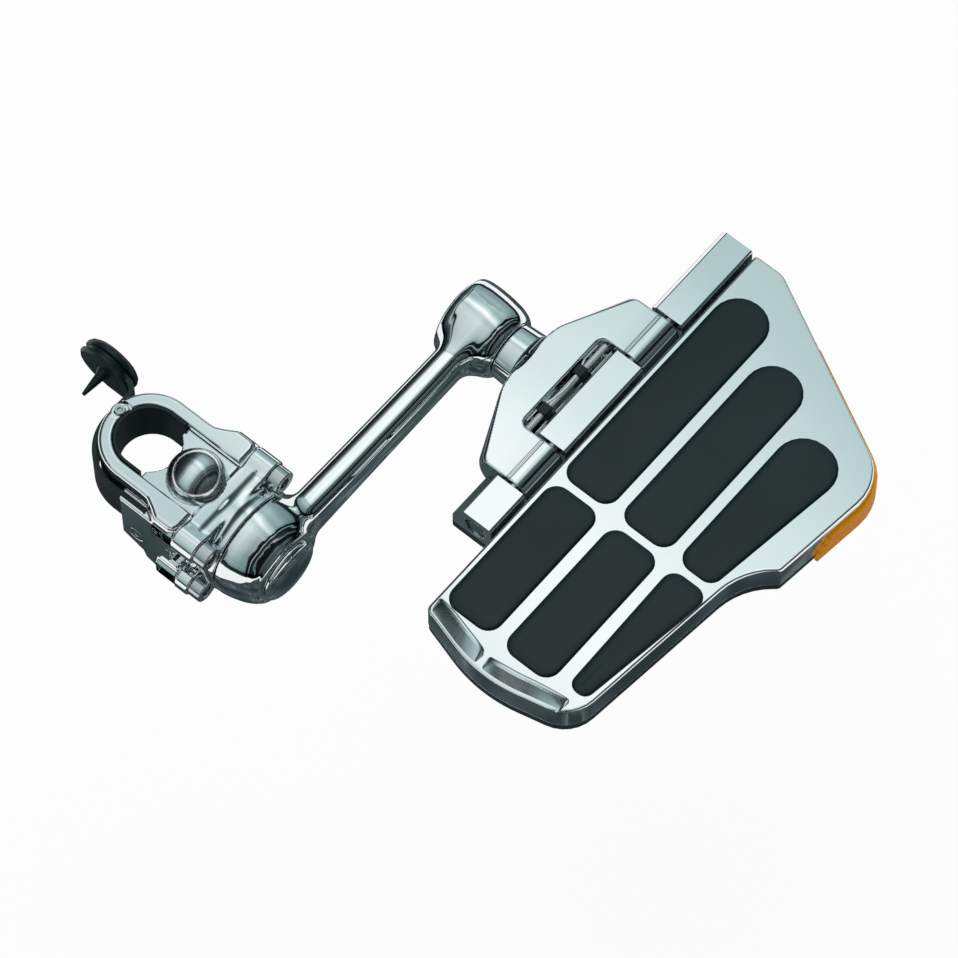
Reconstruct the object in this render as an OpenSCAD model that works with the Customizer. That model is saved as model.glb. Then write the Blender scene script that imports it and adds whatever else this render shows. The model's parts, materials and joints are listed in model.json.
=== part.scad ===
// Folding motorcycle floorboard on an offset arm with a hinged tube clamp
// The origin is the centre of the tube bore; X runs along the swivel axes, Y along the fold hinge

/* [Tube clamp] */
// Outer diameter of the guard tube that the clamp closes on
tube_d = 31.8; // [30:0.1:33]
// Length of the clamp along the tube
clamp_depth = 28; // [24:1:34]
// Thickness of the rubber liner between tube and jaw
liner_t = 1.5; // [1:0.1:2.5]
// Thickness of the jaw band round the tube
jaw_wall = 7.2; // [6:0.1:8]
// Distance from the tube centre to the face where the jaws meet the saddle
foot_reach = 42; // [40:0.5:48]
// Length of the thick foot of each jaw
foot_len = 13; // [11:0.5:15]
// Diameter of the pin that hinges the two jaws
jaw_pin_d = 5; // [4:0.1:5.4]

/* [Saddle] */
// Thickness of the saddle flange under the screw heads
flange_t = 13.4; // [10:0.2:18]
// Thickness of the flange under the two far screws
far_flange_t = 8; // [6:0.2:9.6]
// Distance between the two screw columns, across the tube
screw_span_y = 53; // [51:0.5:56]
// Distance between the two screw rows, along the tube
screw_span_z = 42; // [38:0.5:46]
// Radius of the lugs round the screws
lug_r = 7.4; // [6.8:0.1:8.4]
// Radius of the polished ball behind the tube
ball_r = 14.8; // [13:0.1:16]
// How far the swivel axis lies below the middle of the clamp
hub_drop = 17; // [14:0.5:20]
// Largest radius of the dome on the saddle
dome_r = 28.4; // [26:0.2:29]

/* [Clamp screws] */
// Thread diameter of the clamp screws
screw_d = 8; // [6:0.5:8]
// Diameter of the cap heads
screw_head_d = 12.8; // [11:0.1:13]
// Height of the cap heads
screw_head_h = 7.4; // [6:0.1:8]

/* [Rubber plug] */
// Radius of the plug's flanges
plug_r = 16; // [12:0.5:18]
// Thickness of the plug over both flanges
plug_t = 9.6; // [8:0.2:13]
// Length of the pull-through spike
spike_len = 15; // [8:0.5:20]
// Thickness of the strap
strap_t = 2.4; // [1.6:0.1:2.8]
// Width of the strap along the tube
strap_w = 22; // [14:1:24]

/* [Offset arm] */
// Distance between the two swivel axes
arm_len = 160; // [130:1:180]
// Width of the arm's lower hub along its axis
arm_hub_w = 23; // [22:0.5:28]
// Width of the arm beam at the lower hub, along the hub axis
beam_w = 18.6; // [15:0.1:19]
// Height of the arm beam at the lower hub
beam_h = 25; // [20:0.5:28]
// Share of the beam's section that is left at the upper hub
beam_taper = 0.86; // [0.75:0.01:1]
// Largest radius of the upper hub
upper_hub_r = 21.2; // [20:0.2:23]
// Width of the upper hub along its axis
upper_hub_w = 30; // [29:0.5:36]
// Diameter of the swivel spigots
spigot_d = 18; // [16:0.5:20]
// Thread diameter of the swivel bolts
pivot_bolt_d = 10; // [8:0.5:11]
// Diameter of the swivel bolt heads
pivot_head_d = 16; // [14:0.5:18]
// Width of the swivel collar
collar_w = 10.9; // [6:0.1:12]
// Radius of the swivel collar
collar_r = 16.2; // [15:0.1:18]

/* [Hinge mount] */
// Distance from the mount's neck to the fold pin
mount_reach = 38.3; // [36:0.1:46]
// Width of the mount's neck
neck_w = 37; // [34:1:42]
// Width of the mount over both knuckles
mount_w = 116.8; // [110:0.2:124]
// Width of the cut-out for the middle hinge bar
cutout_w = 62; // [56:1:70]
// Distance from the fold pin to the back of the cut-out
cutout_depth = 17.4; // [16.5:0.1:20]
// Diameter of the fold pin
fold_pin_d = 8.9; // [7:0.1:10]
// Radius of the round knuckles
knuckle_r = 10; // [9:0.1:10.4]

/* [Board] */
// Distance from the middle of the hinge to the heel edge, along the hinge
heel_reach = 145; // [138:1:152]
// Width of the board, hinge side to outer side
board_w = 125.5; // [120:0.5:140]
// Length of the board
board_len = 260.4; // [250:0.2:280]
// Thickness of the board, without the pads
board_t = 21.6; // [19:0.2:26]
// Thickness of the lower casting
base_t = 6.4; // [5:0.1:8]
// Thickness of the top plate's side walls
shell_wall = 4; // [3:0.1:5]
// Depth of the pad recesses
recess_t = 2.4; // [1.5:0.1:3]
// Height of the pads above the plate
pad_rise = 1.8; // [1:0.1:3]
// Height of the heel ribs above the plate
rib_rise = 6; // [3:0.2:8]
// Side of the square hinge bars
bar_side = 19; // [17:0.2:20]
// Distance that the amber lens stands out from the wall
lens_proud = 2; // [0.8:0.1:2.6]
// Height of the amber lens
lens_h = 13.6; // [8:0.2:14]

/* [Hidden] */
$fn = 64;

chrome = "gainsboro";
steel = "silver";
rubber = "darkslategray";
amber = "orange";
past = 1;              // how far a cut runs past the face it opens
run_gap = 0.05;        // radial clearance of a running fit
bolt_gap = 0.3;        // radial clearance of a bolt hole
turn_gap = 0.4;        // clearance between faces that turn past each other
fit_gap = 0.1;         // clearance of a piece in its seat
thread_len = 11;       // length of screw in the jaw

// Clamp
bore_r = tube_d / 2;
jaw_in = bore_r + liner_t;
jaw_out = jaw_in + jaw_wall;
clamp_top = clamp_depth / 2;
jaw_pin_x = 0.9 - (jaw_in + jaw_out) / 2;
jaw_pin_y = 1.6;
knuckle_h = clamp_depth * 0.54;
eye_r = jaw_wall / 2 + 1.1;
eye_inset = 0.2;                 // how far the eye stops short of the inside of the band
eye_room = 1.2;                  // clearance round the other jaw's eye
flare_y = screw_span_y / 2 + 4;
flare_x = foot_reach - foot_len;
foot_round = 3.5;                // rounding of the foot's outer corner
side_y = flare_y - 0.6;          // outer face of the body beside the band
side_top = 3;                    // top ledge of that body
side_start = 6;
liner_x = 9;                     // where the straight ends of the liner stop
strap_in = jaw_out + 1.2;
strap_out = strap_in + strap_t;
strap_low = side_top - strap_w;
strap_screw_x = side_start + 9.5;
strap_screw_r = 2.5;
strap_head_r = 4.4;
strap_head_h = side_y - strap_out;
strap_screw_len = 8.5;

// Swivel axes and stations along X
hub_z = -hub_drop;
strap_screw_z = hub_z - 7.6;
flange_x = foot_reach + flange_t;
far_flange_x = foot_reach + far_flange_t;
dome_x = flange_x + screw_head_h + turn_gap;
arm_x = dome_x + turn_gap;
arm_mid = arm_x + 10;                     // centre plane of the beam
arm_end = arm_x + arm_hub_w;
upper_x = arm_mid - upper_hub_w * 0.39;
upper_end = upper_x + upper_hub_w;
collar_x = upper_end + turn_gap;
neck_x = collar_x + collar_w;
pin_x = neck_x + mount_reach;
spigot_r = spigot_d / 2;
washer_t = 2.2;
washer_r = spigot_r + 3.4;
pocket_r = washer_r + 0.6;
pivot_head_h = 6;
socket_d = 8;
lower_shoulder = arm_x + arm_hub_w * 0.6;
upper_shoulder = upper_x + upper_hub_w * 0.36;
cap_bulge = 4.4;
upper_cap_bulge = 2;

// Hinge mount
mount_half = mount_w / 2;
mount_top = hub_z + knuckle_r;
mount_low = hub_z - knuckle_r;
pin_r = fold_pin_d / 2;

// Board
board_gap = 1;                            // clearance between wall and knuckle
board_x = pin_x + knuckle_r + board_gap;
board_y = arm_len - heel_reach;           // lowest point of the heel edge
board_right = board_x + board_w;
board_far = board_y + board_len;
board_top = hub_z + 7.4;
board_low = board_top - board_t;
split_z = board_low + base_t;
cap_t = recess_t + 3;                     // thickness of the top plate under its skin
bar_half = bar_side / 2;
bar_gap = 1.6;                            // clearance between bar and knuckle ends
lower_bar_len = 25.6;
far_bar_end = 0.8;                        // how far the far bar stops short of the toe end
upper_bar_len = board_far - far_bar_end - arm_len - mount_half - bar_gap;
middle_bar_len = cutout_w - 3;
clip_seat_r = 6.6;
clip_seat_t = 3;
pin_low_y = arm_len - mount_half - bar_gap - lower_bar_len;
pin_high_y = arm_len + mount_half + bar_gap + upper_bar_len;

// Round corners: each corner is [x, y, radius], listed counter-clockwise
arc_steps = 6;
wide_arc = 60;           // corners wider than this take more steps
function steps_of(r) = r > wide_arc ? 3 * arc_steps : arc_steps;
least_r = 0.2;
function unit(v) = v / norm(v);
function left_of(v) = [-v.y, v.x];
function turn_of(u, v) = atan2(u.x * v.y - u.y * v.x, u * v);
function spin(v, a) = [v.x * cos(a) - v.y * sin(a), v.x * sin(a) + v.y * cos(a)];
function flat(c) = [c.x, c.y];
function before(i, n) = (i + n - 1) % n;
function after(i, n) = (i + 1) % n;

// The same corners, moved inwards by d
function inset(corners, d) = let (n = len(corners)) [
    for (i = [0 : n - 1])
        let (
            q = flat(corners[i]),
            u = unit(q - flat(corners[before(i, n)])),
            v = unit(flat(corners[after(i, n)]) - q),
            moved = q + d * (left_of(u) + left_of(v)) / (1 + u * v),
            r = max(corners[i][2] - sign(turn_of(u, v)) * d, least_r))
        [moved.x, moved.y, r]];

// The outline with each corner drawn as an arc
function outline(corners) = let (n = len(corners)) [
    for (i = [0 : n - 1])
        let (
            q = flat(corners[i]),
            u = unit(q - flat(corners[before(i, n)])),
            v = unit(flat(corners[after(i, n)]) - q),
            a = turn_of(u, v),
            start = q - corners[i][2] * tan(abs(a) / 2) * u,
            centre = start + sign(a) * corners[i][2] * left_of(u))
        for (k = [0 : steps_of(corners[i][2])])
            centre + spin(start - centre, a * k / steps_of(corners[i][2]))];

// A solid skinned over rings of points that all have the same count
module skin(rings) {
    m = len(rings[0]);
    last = len(rings) - 1;
    polyhedron(
        points = [for (ring = rings) each ring],
        faces = concat(
            [[for (i = [0 : m - 1]) i]],
            [for (j = [0 : last - 1], i = [0 : m - 1])
                [j * m + i, (j + 1) * m + i, j * m + after(i, m)]],
            [for (j = [0 : last - 1], i = [0 : m - 1])
                [j * m + after(i, m), (j + 1) * m + i, (j + 1) * m + after(i, m)]],
            [[for (i = [0 : m - 1]) last * m + m - 1 - i]]));
}

// A rim skinned round a loop of rings, which leaves its middle open
module loop_skin(rings) {
    m = len(rings[0]);
    n = len(rings);
    polyhedron(
        points = [for (ring = rings) each ring],
        faces = concat(
            [for (j = [0 : n - 1], i = [0 : m - 1])
                [j * m + i, after(j, n) * m + i, j * m + after(i, m)]],
            [for (j = [0 : n - 1], i = [0 : m - 1])
                [j * m + after(i, m), after(j, n) * m + i, after(j, n) * m + after(i, m)]]));
}

// A plate whose edge is a rim with the given section of [z, inset] points, from the lowest up;
// the rim's first and last points lie at the edge of the flat middle
module edged_plate(corners, section) {
    last = len(section) - 1;
    low = section[0];
    high = section[last];
    root = max(low[1], high[1]) + 1;
    loop_skin([for (level = concat(section, [[high[0] - 1, root], [low[0] + 1, root]]))
        [for (p = outline(inset(corners, level[1]))) [p.x, p.y, level[0]]]]);
    slab(inset(corners, low[1]), low[0], high[0]);
}

// Levels of [z, inset] over one list of corners, from the lowest up
module stack(corners, levels)
    skin([for (level = levels)
        [for (p = outline(inset(corners, level[1]))) [p.x, p.y, level[0]]]]);

module slab(corners, z0, z1)
    translate([0, 0, z0]) linear_extrude(z1 - z0) polygon(outline(corners));

module along_x(x0, y = 0, z = 0) translate([x0, y, z]) rotate([90, 0, 90]) children();

module rod_x(x0, x1, r, y = 0, z = hub_z)
    translate([x0, y, z]) rotate([0, 90, 0]) cylinder(h = x1 - x0, r = r);

module rod_y(y0, y1, r, x = pin_x, z = hub_z)
    translate([x, y0, z]) rotate([-90, 0, 0]) cylinder(h = y1 - y0, r = r);

// A profile of [x, radius] points turned about a swivel axis
module turned_x(profile, y = 0)
    translate([0, y, hub_z]) rotate([0, 90, 0]) rotate_extrude() polygon([for (p = profile) [p.y, p.x]]);

module rounded_square(side, r) {
    square([side, side - 2 * r], center = true);
    square([side - 2 * r, side], center = true);
    for (sx = [-1, 1], sy = [-1, 1]) translate([sx, sy] * (side / 2 - r)) circle(r);
}

module hex_hole_x(x0, x1, across, y, z)
    translate([x0, y, z]) rotate([0, 90, 0]) cylinder(h = x1 - x0, d = across / cos(30), $fn = 6);

function seat_x(row) = row > 0 ? flange_x : far_flange_x;
module at_screw_row(row)
    for (s = [-1, 1]) translate([0, s * screw_span_y / 2, hub_z + row * screw_span_z / 2]) children();

module at_clamp_screws() for (row = [-1, 1]) at_screw_row(row) children();

// A smooth line through the given points
curve_steps = 5;
function catmull(a, b, c, d, t) =
    (2 * b + (c - a) * t + (2 * a - 5 * b + 4 * c - d) * t ^ 2 + (3 * b - a - 3 * c + d) * t ^ 3) / 2;
function curve(p) = let (last = len(p) - 1) concat(
    [for (i = [0 : last - 1], k = [0 : curve_steps - 1])
        catmull(p[max(i - 1, 0)], p[i], p[i + 1], p[min(i + 2, last)], k / curve_steps)],
    [p[last]]);

// A hub along X: each form point is [share of the length, share of the radius]
module hub_shell(x0, len, r, form, y = 0)
    turned_x(concat([[x0, 0]], curve([for (f = form) [x0 + f.x * len, f.y * r]]), [[x0 + len, 0]]), y);

// Clamp jaws
module band_outline(side) {
    circle(jaw_out);
    polygon(concat(
        [[0, 0], [foot_reach, 0]],
        [for (a = [0 : 15 : 90])
            [foot_reach - foot_round * (1 - cos(a)), side * (flare_y - foot_round * (1 - sin(a)))]],
        [[flare_x + 1, side * flare_y], [flare_x - 8, side * jaw_out], [0, side * jaw_out]]));
}

// The room inside both jaws, and the half that belongs to the other jaw
module jaw_room(side) {
    low = lug_low - past;
    translate([0, 0, low]) linear_extrude(clamp_top + past - low) {
        circle(jaw_in);
        translate([0, -jaw_in]) square([foot_reach + past, 2 * jaw_in]);
    }
    translate([-2 * jaw_out, side > 0 ? -4 * jaw_out : 0, low])
        cube([2 * jaw_out + foot_reach + past, 4 * jaw_out, clamp_top + past - low]);
}

// Lugs of the foot, which hold the screw threads
module lug_row(x0, x1, z)
    along_x(x0, 0, z) linear_extrude(x1 - x0) {
        square([screw_span_y, 2 * lug_r - 4], center = true);
        for (s = [-1, 1]) translate([s * screw_span_y / 2, 0]) circle(lug_r);
    }

lug_low = hub_z - screw_span_z / 2 - lug_r;
module side_body(side) {
    start = side > 0 ? flare_x - 9 : side_start;
    translate([0, side > 0 ? side_y : 2 - jaw_in, 0]) rotate([90, 0, 0])
        linear_extrude(side_y - jaw_in + 2)
            polygon([[start, side_top], [foot_reach, side_top], [foot_reach, hub_z + 8],
                [foot_reach - 5, hub_z + 8], [foot_reach - 5, hub_z - 8], [foot_reach, hub_z - 8],
                [foot_reach, lug_low], [flare_x, lug_low], [flare_x - 8.5, lug_low + 3],
                [start + (flare_x - start) * 0.55, lug_low + 8], [start, lug_low + 13]]);
}

module jaw(side) {
    translate([0, 0, -clamp_top]) linear_extrude(clamp_depth) band_outline(side);
    side_body(side);
    for (row = [-1, 1]) lug_row(flare_x, foot_reach, hub_z + row * screw_span_z / 2);
}

module thread_holes()
    at_clamp_screws() rod_x(foot_reach - thread_len - 1, foot_reach + past, screw_d / 2 + run_gap, z = 0);

module pin_hole()
    translate([jaw_pin_x, jaw_pin_y, -clamp_top - past]) cylinder(h = clamp_depth + 2 * past, d = jaw_pin_d);

// Eye round the hinge pin, flush with the inside of the band
module pin_eye(h)
    translate([0, 0, -h / 2]) linear_extrude(h) difference() {
        translate([jaw_pin_x, jaw_pin_y]) circle(eye_r);
        circle(jaw_in + eye_inset);
    }

module jaw_lower() {
    color(chrome) difference() {
        union() {
            difference() {
                jaw(-1);
                jaw_room(-1);
            }
            pin_eye(clamp_depth);
        }
        translate([jaw_pin_x, jaw_pin_y, -knuckle_h / 2 - fit_gap])
            cylinder(h = knuckle_h + 2 * fit_gap, r = eye_r + eye_room);
        pin_hole();
        thread_holes();
        strap_tab(fit_gap);
        translate([strap_screw_x, -side_y - past, strap_screw_z]) rotate([-90, 0, 0]) {
            cylinder(h = past + strap_screw_len + 0.5, r = strap_screw_r + run_gap);
            cylinder(h = past + strap_head_h + fit_gap / 2, r = strap_head_r + fit_gap);
        }
    }
}

module jaw_upper() {
    color(chrome) difference() {
        union() {
            difference() {
                jaw(1);
                jaw_room(1);
                translate([jaw_pin_x, jaw_pin_y, -clamp_top - past])
                    cylinder(h = clamp_depth + 2 * past, r = eye_r + eye_room);
            }
            pin_eye(knuckle_h);
            translate([0, 0, -knuckle_h / 2]) linear_extrude(knuckle_h) intersection() {
                difference() {
                    circle(jaw_out - 0.3);
                    circle(jaw_in + 0.3);
                }
                translate([jaw_pin_x - 2, jaw_pin_y + 1]) square([8, 9]);
            }
        }
        pin_hole();
        thread_holes();
    }
}

module jaw_hinge_pin() {
    head_h = 1.2;
    color(steel) difference() {
        translate([jaw_pin_x, jaw_pin_y, 0]) {
            translate([0, 0, -clamp_top]) cylinder(h = clamp_depth, d = jaw_pin_d);
            translate([0, 0, clamp_top]) cylinder(h = head_h, r1 = jaw_pin_d * 0.8, r2 = jaw_pin_d * 0.68);
        }
        translate([jaw_pin_x, jaw_pin_y, clamp_top - 1.5]) cylinder(h = 4, d = 2.6, $fn = 6);
    }
}

module tube_liner() {
    color(rubber) translate([0, 0, -clamp_top]) linear_extrude(clamp_depth) difference() {
        union() {
            circle(jaw_in);
            translate([0, -jaw_in]) square([liner_x, 2 * jaw_in]);
        }
        circle(bore_r);
        translate([0, -bore_r]) square([liner_x + past, 2 * bore_r]);
        translate([liner_x, -jaw_in - past]) square(2 * jaw_in + 2 * past);
    }
}

// Saddle, flange and dome are one casting
saddle_half = jaw_in - 0.7;
saddle_top = clamp_top - 5;      // its top lies below the top of the jaws
ball_x = foot_reach - 12;
module saddle_base() {
    dome_form = [[0, 0.6], [0.35, 0.85], [0.7, 0.97], [0.88, 1], [1, 0.995]];
    color(chrome) difference() {
        union() {
            translate([liner_x + fit_gap, -saddle_half, -clamp_top])
                cube([flange_x - liner_x - fit_gap, 2 * saddle_half, clamp_top + saddle_top]);
            translate([ball_x, 0, saddle_top - 0.4]) sphere(ball_r);
            for (row = [-1, 1]) lug_row(foot_reach, seat_x(row), hub_z + row * screw_span_z / 2);
            rod_x(foot_reach - 6, flange_x, saddle_half);
            hub_shell(foot_reach, dome_x - foot_reach, dome_r, dome_form);
            rod_x(flange_x, lower_shoulder - 0.3, spigot_r);
        }
        translate([0, 0, -clamp_top - past]) cylinder(h = clamp_depth + 2 * past, r = bore_r);
        at_clamp_screws() rod_x(foot_reach - past, flange_x + past, screw_d / 2 + bolt_gap, z = 0);
        for (row = [-1, 1]) at_screw_row(row)
            rod_x(seat_x(row), dome_x + past, screw_head_d / 2 + bolt_gap, z = 0);
        rod_x(foot_reach - 4, arm_end, pivot_bolt_d / 2 + run_gap);
    }
}

module cap_screw(seat) {
    bevel = 0.8;
    tip = foot_reach - thread_len;
    top = seat + screw_head_h;
    difference() {
        rotate([0, 90, 0]) rotate_extrude() polygon([[0, tip], [screw_d / 2, tip], [screw_d / 2, seat],
            [screw_head_d / 2, seat], [screw_head_d / 2, top - bevel], [screw_head_d / 2 - bevel, top], [0, top]]);
        hex_hole_x(top - 4, top + past, screw_d * 0.75, 0, 0);
    }
}

module clamp_screws()
    color(steel) for (row = [-1, 1]) at_screw_row(row) cap_screw(seat_x(row));

// Strap end in the side of the lower jaw, held by the strap screw
tab_low = strap_screw_z - 5.5;
tab_len = 15;
module strap_tab(gap)
    translate([side_start - past, -strap_out - gap, tab_low - gap])
        cube([tab_len + past + gap, strap_t + 2 * gap, side_top - tab_low + 2 * gap]);

// Plug on its strap, one rubber moulding
plug_x = jaw_pin_x - 27.3;
plug_tilt = 4.5;
plug_y = 18.9;
plug_z = -5;
strap_mid = strap_in + strap_t / 2;
bend_r = 6;              // radius of the strap's bend at the plug
tongue_y = plug_y + 0.7; // the strap ends as a tongue inside the plug's lower flange
bend_y = tongue_y + strap_t / 2 - bend_r;

// The strap seen along the tube: round the jaw, up beside it and over to the plug
module strap_path() {
    far = 3 * strap_out;
    difference() {
        union() {
            circle(strap_out);
            translate([0, -strap_out]) square([side_start, strap_out]);
            translate([-strap_out, 0]) square([strap_out, bend_y]);
        }
        circle(strap_in);
        translate([0, -strap_in]) square(far);
        translate([-strap_in, 0]) square(far);
    }
    translate([-strap_mid - bend_r, bend_y]) difference() {
        circle(bend_r + strap_t / 2);
        circle(bend_r - strap_t / 2);
        translate([-far, -far]) square([far, 2 * far]);
        translate([-far, -far]) square([2 * far, far]);
    }
    translate([plug_x, tongue_y]) square([-strap_mid - bend_r - plug_x, strap_t]);
}

module plug_and_strap() {
    groove = plug_t * 0.24;
    color(rubber) {
        difference() {
            union() {
                translate([0, 0, strap_low]) linear_extrude(strap_w) strap_path();
                strap_tab(0);
            }
            translate([strap_screw_x, -side_y, strap_screw_z]) rotate([-90, 0, 0])
                cylinder(h = side_y, r = strap_screw_r + fit_gap);
        }
        translate([plug_x, plug_y, plug_z]) rotate([plug_tilt - 90, 0, 0]) rotate_extrude()
            polygon([[0, 0], [plug_r - 1.2, 0], [plug_r, 1.2], [plug_r, groove], [plug_r - 1.8, groove + 0.8],
                [plug_r - 1.8, 2 * groove], [plug_r, 2 * groove + 0.8], [plug_r, plug_t - 3],
                [plug_r - 1, plug_t - 1.2], [plug_r - 3, plug_t], [0, plug_t]]);
        translate([plug_x, plug_y, plug_z]) rotate([90 + plug_tilt, 0, 0]) {
            cylinder(h = 3, r1 = 4, r2 = 2.6);
            cylinder(h = spike_len, r1 = 3, r2 = 1);
        }
    }
}

module strap_screw() {
    color(steel) translate([strap_screw_x, -side_y, strap_screw_z]) rotate([-90, 0, 0]) difference() {
        union() {
            cylinder(h = strap_head_h, r = strap_head_r);
            cylinder(h = strap_screw_len, r = strap_screw_r);
        }
        translate([0, 0, -past]) cylinder(h = past + strap_head_h + 1, d = strap_screw_r * 1.2, $fn = 6);
    }
}

// A swivel bolt, its head towards the given side
module pivot_bolt(x_head, x_tip, y) {
    way = sign(x_tip - x_head);
    translate([x_head, y, hub_z]) rotate([0, way * 90, 0]) difference() {
        union() {
            cylinder(h = pivot_head_h, d = pivot_head_d);
            cylinder(h = abs(x_tip - x_head), d = pivot_bolt_d);
        }
        translate([0, 0, -past]) cylinder(h = 4 + past, d = socket_d / cos(30), $fn = 6);
    }
}

module pivot_washer(x0, y) {
    color(steel) difference() {
        rod_x(x0, x0 + washer_t, washer_r, y);
        rod_x(x0 - past, x0 + washer_t + past, pivot_bolt_d / 2 + run_gap, y);
    }
}

module lower_pivot_bolt()
    color(steel) pivot_bolt(lower_shoulder + 0.3 + washer_t + pivot_head_h, foot_reach, 0);

module lower_pivot_washer() pivot_washer(lower_shoulder + 0.3, 0);

module upper_pivot_bolt()
    color(steel) pivot_bolt(upper_shoulder - 0.3 - washer_t - pivot_head_h, neck_x, arm_len);

module upper_pivot_washer() pivot_washer(upper_shoulder - 0.3 - washer_t, arm_len);

// Arm beam: rings of rounded sections, flared where they meet the hubs
beam_rings = 16;
beam_sides = 32;
function lerp(a, b, t) = a + (b - a) * t;
function bulge(a, n) = sign(a) * pow(abs(a), n);
function flare(t) = pow(1 - t, 7) + 0.7 * pow(t, 8);
function beam_ring(t) = let (
    shrink = lerp(1, beam_taper, t),
    w = beam_w / 2 * shrink,
    h = beam_h / 2 * shrink + 5 * flare(t))
    [for (i = [0 : beam_sides - 1]) let (a = -360 * i / beam_sides)
        [arm_mid + w * bulge(cos(a), 0.78), arm_len * t, hub_z + h * bulge(sin(a), 0.78)]];

lower_form = [[0, 0.985], [0.2, 0.975], [0.45, 0.93], [0.7, 0.86], [0.88, 0.77], [0.97, 0.69], [1, 0.62]];
upper_form = [[0, 0.935], [0.14, 0.965], [0.38, 0.998], [0.62, 0.985], [0.8, 0.935], [0.93, 0.85], [1, 0.77]];
lower_cap_r = dome_r * 0.61;
upper_cap_r = upper_hub_r * 0.96;
module offset_arm() {
    color(chrome) difference() {
        union() {
            skin([for (k = [0 : beam_rings]) beam_ring(k / beam_rings)]);
            hub_shell(arm_x, arm_hub_w, dome_r, lower_form);
            hub_shell(upper_x, upper_hub_w, upper_hub_r, upper_form, arm_len);
        }
        rod_x(arm_x - past, arm_end + past, spigot_r + run_gap);
        rod_x(lower_shoulder, arm_end + past, pocket_r);
        rod_x(upper_x - past, upper_end + past, spigot_r + run_gap, arm_len);
        rod_x(upper_x - past, upper_shoulder, pocket_r, arm_len);
    }
}

// A domed cap that plugs the pocket of a hub
module hub_cap(x0, way, r, bulge_h, y) {
    plug_len = 2.4;
    rim_t = 1;
    hollow = bulge_h * 0.35;
    color(chrome) translate([x0, y, hub_z]) rotate([0, way * 90, 0]) rotate_extrude()
        polygon(concat(
            [[0, hollow], [pocket_r - 2.2, hollow], [pocket_r - 2.2, -plug_len], [pocket_r, -plug_len], [pocket_r, 0],
                [r, 0], [r, rim_t]],
            [for (k = [0 : 10]) let (a = 9 * k)
                [(r - rim_t / 2) * cos(a), rim_t + 0.2 + (bulge_h - rim_t - 0.2) * sin(a)]]));
}

module lower_hub_cap() hub_cap(arm_end, 1, lower_cap_r, cap_bulge, 0);

module upper_hub_cap() hub_cap(upper_x, -1, upper_cap_r, upper_cap_bulge, arm_len);

module swivel_collar() {
    color(chrome) difference() {
        turned_x([[collar_x, 0], [collar_x, collar_r - 0.8], [collar_x + 0.8, collar_r],
            [neck_x - 0.8, collar_r], [neck_x, collar_r - 0.8], [neck_x, 0]], arm_len);
        rod_x(collar_x - past, neck_x + past, spigot_r + run_gap, arm_len);
    }
}

// Wing-shaped mount with two knuckles; its slanted sides are rounded from top to bottom
side_bulge = 4.8;
wing_half = knuckle_r - 0.15;
wing_end = mount_half - 0.2;
slant_x = pin_x - 16;
function mount_corners(out) = [
    [neck_x, -neck_w / 2 - out * 0.5, 8], [slant_x - out * 1.16, -wing_end, 5], [pin_x - 0.5, -wing_end, 0.4],
    [pin_x - 0.5, wing_end, 0.4], [slant_x - out * 1.16, wing_end, 5], [neck_x, neck_w / 2 + out * 0.5, 8]];

module hinge_mount() {
    color(chrome) difference() {
        union() {
            translate([0, arm_len, 0]) skin([for (a = [-90 : 15 : 90])
                [for (p = outline(mount_corners(side_bulge * cos(a)))) [p.x, p.y, hub_z + wing_half * sin(a)]]]);
            rod_y(arm_len - mount_half, arm_len + mount_half, knuckle_r);
            rod_x(upper_shoulder + 0.3, neck_x + past, spigot_r, arm_len);
        }
        translate([pin_x, arm_len, 0]) slab([[-cutout_depth, -cutout_w / 2, 4], [2 * knuckle_r, -cutout_w / 2, 0.2],
            [2 * knuckle_r, cutout_w / 2, 0.2], [-cutout_depth, cutout_w / 2, 4]],
            mount_low - past, mount_top + past);
        rod_y(arm_len - mount_half - past, arm_len + mount_half + past, pin_r + run_gap);
        rod_x(upper_shoulder, neck_x + past, pivot_bolt_d / 2 + run_gap, arm_len);
    }
}

// Bowed leaf behind the middle hinge bar
leaf_t = 1.1;
leaf_h = 13;
leaf_back = pin_x - cutout_depth;
leaf_half = cutout_w / 2 - 4;
module detent_spring() {
    bow = 3.2;
    bow_half = leaf_half - 10;
    bow_r = (bow_half ^ 2 + bow ^ 2) / (2 * bow);
    color(steel) translate([leaf_back, arm_len, hub_z - leaf_h / 2]) difference() {
        linear_extrude(leaf_h) {
            for (s = [-1, 1]) translate([0, s > 0 ? bow_half : -leaf_half]) square([leaf_t, leaf_half - bow_half]);
            difference() {
                translate([bow - bow_r + leaf_t, 0]) circle(bow_r, $fn = 180);
                translate([bow - bow_r, 0]) circle(bow_r, $fn = 180);
                translate([-3 * bow_r, -2 * bow_r]) square([3 * bow_r, 4 * bow_r]);
            }
        }
        at_spring_screws() translate([-past, 0, 0]) rotate([0, 90, 0]) cylinder(h = leaf_t + 2 * past, r = 1.6);
    }
}

module at_spring_screws()
    for (s = [-1, 1]) translate([0, s * (leaf_half - 4.5), leaf_h / 2]) children();

module spring_screws() {
    color(steel) translate([leaf_back + leaf_t, arm_len, hub_z - leaf_h / 2]) at_spring_screws()
        rotate([0, 90, 0]) difference() {
            cylinder(h = 1.8, r1 = 3, r2 = 2.4);
            translate([0, 0, 1]) cylinder(h = 2, d = 2, $fn = 6);
        }
}

module fold_pin()
    color(steel) rod_y(pin_low_y + 0.6, pin_high_y - 0.6, pin_r);

module pin_clips() {
    clip_t = 1.2;
    for (y = [pin_low_y + clip_seat_t - 0.4 - clip_t, pin_high_y - clip_seat_t + 0.4])
        color(steel) difference() {
            rod_y(y, y + clip_t, clip_seat_r - 0.4);
            rod_y(y - past, y + clip_t + past, pin_r);
        }
}

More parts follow.
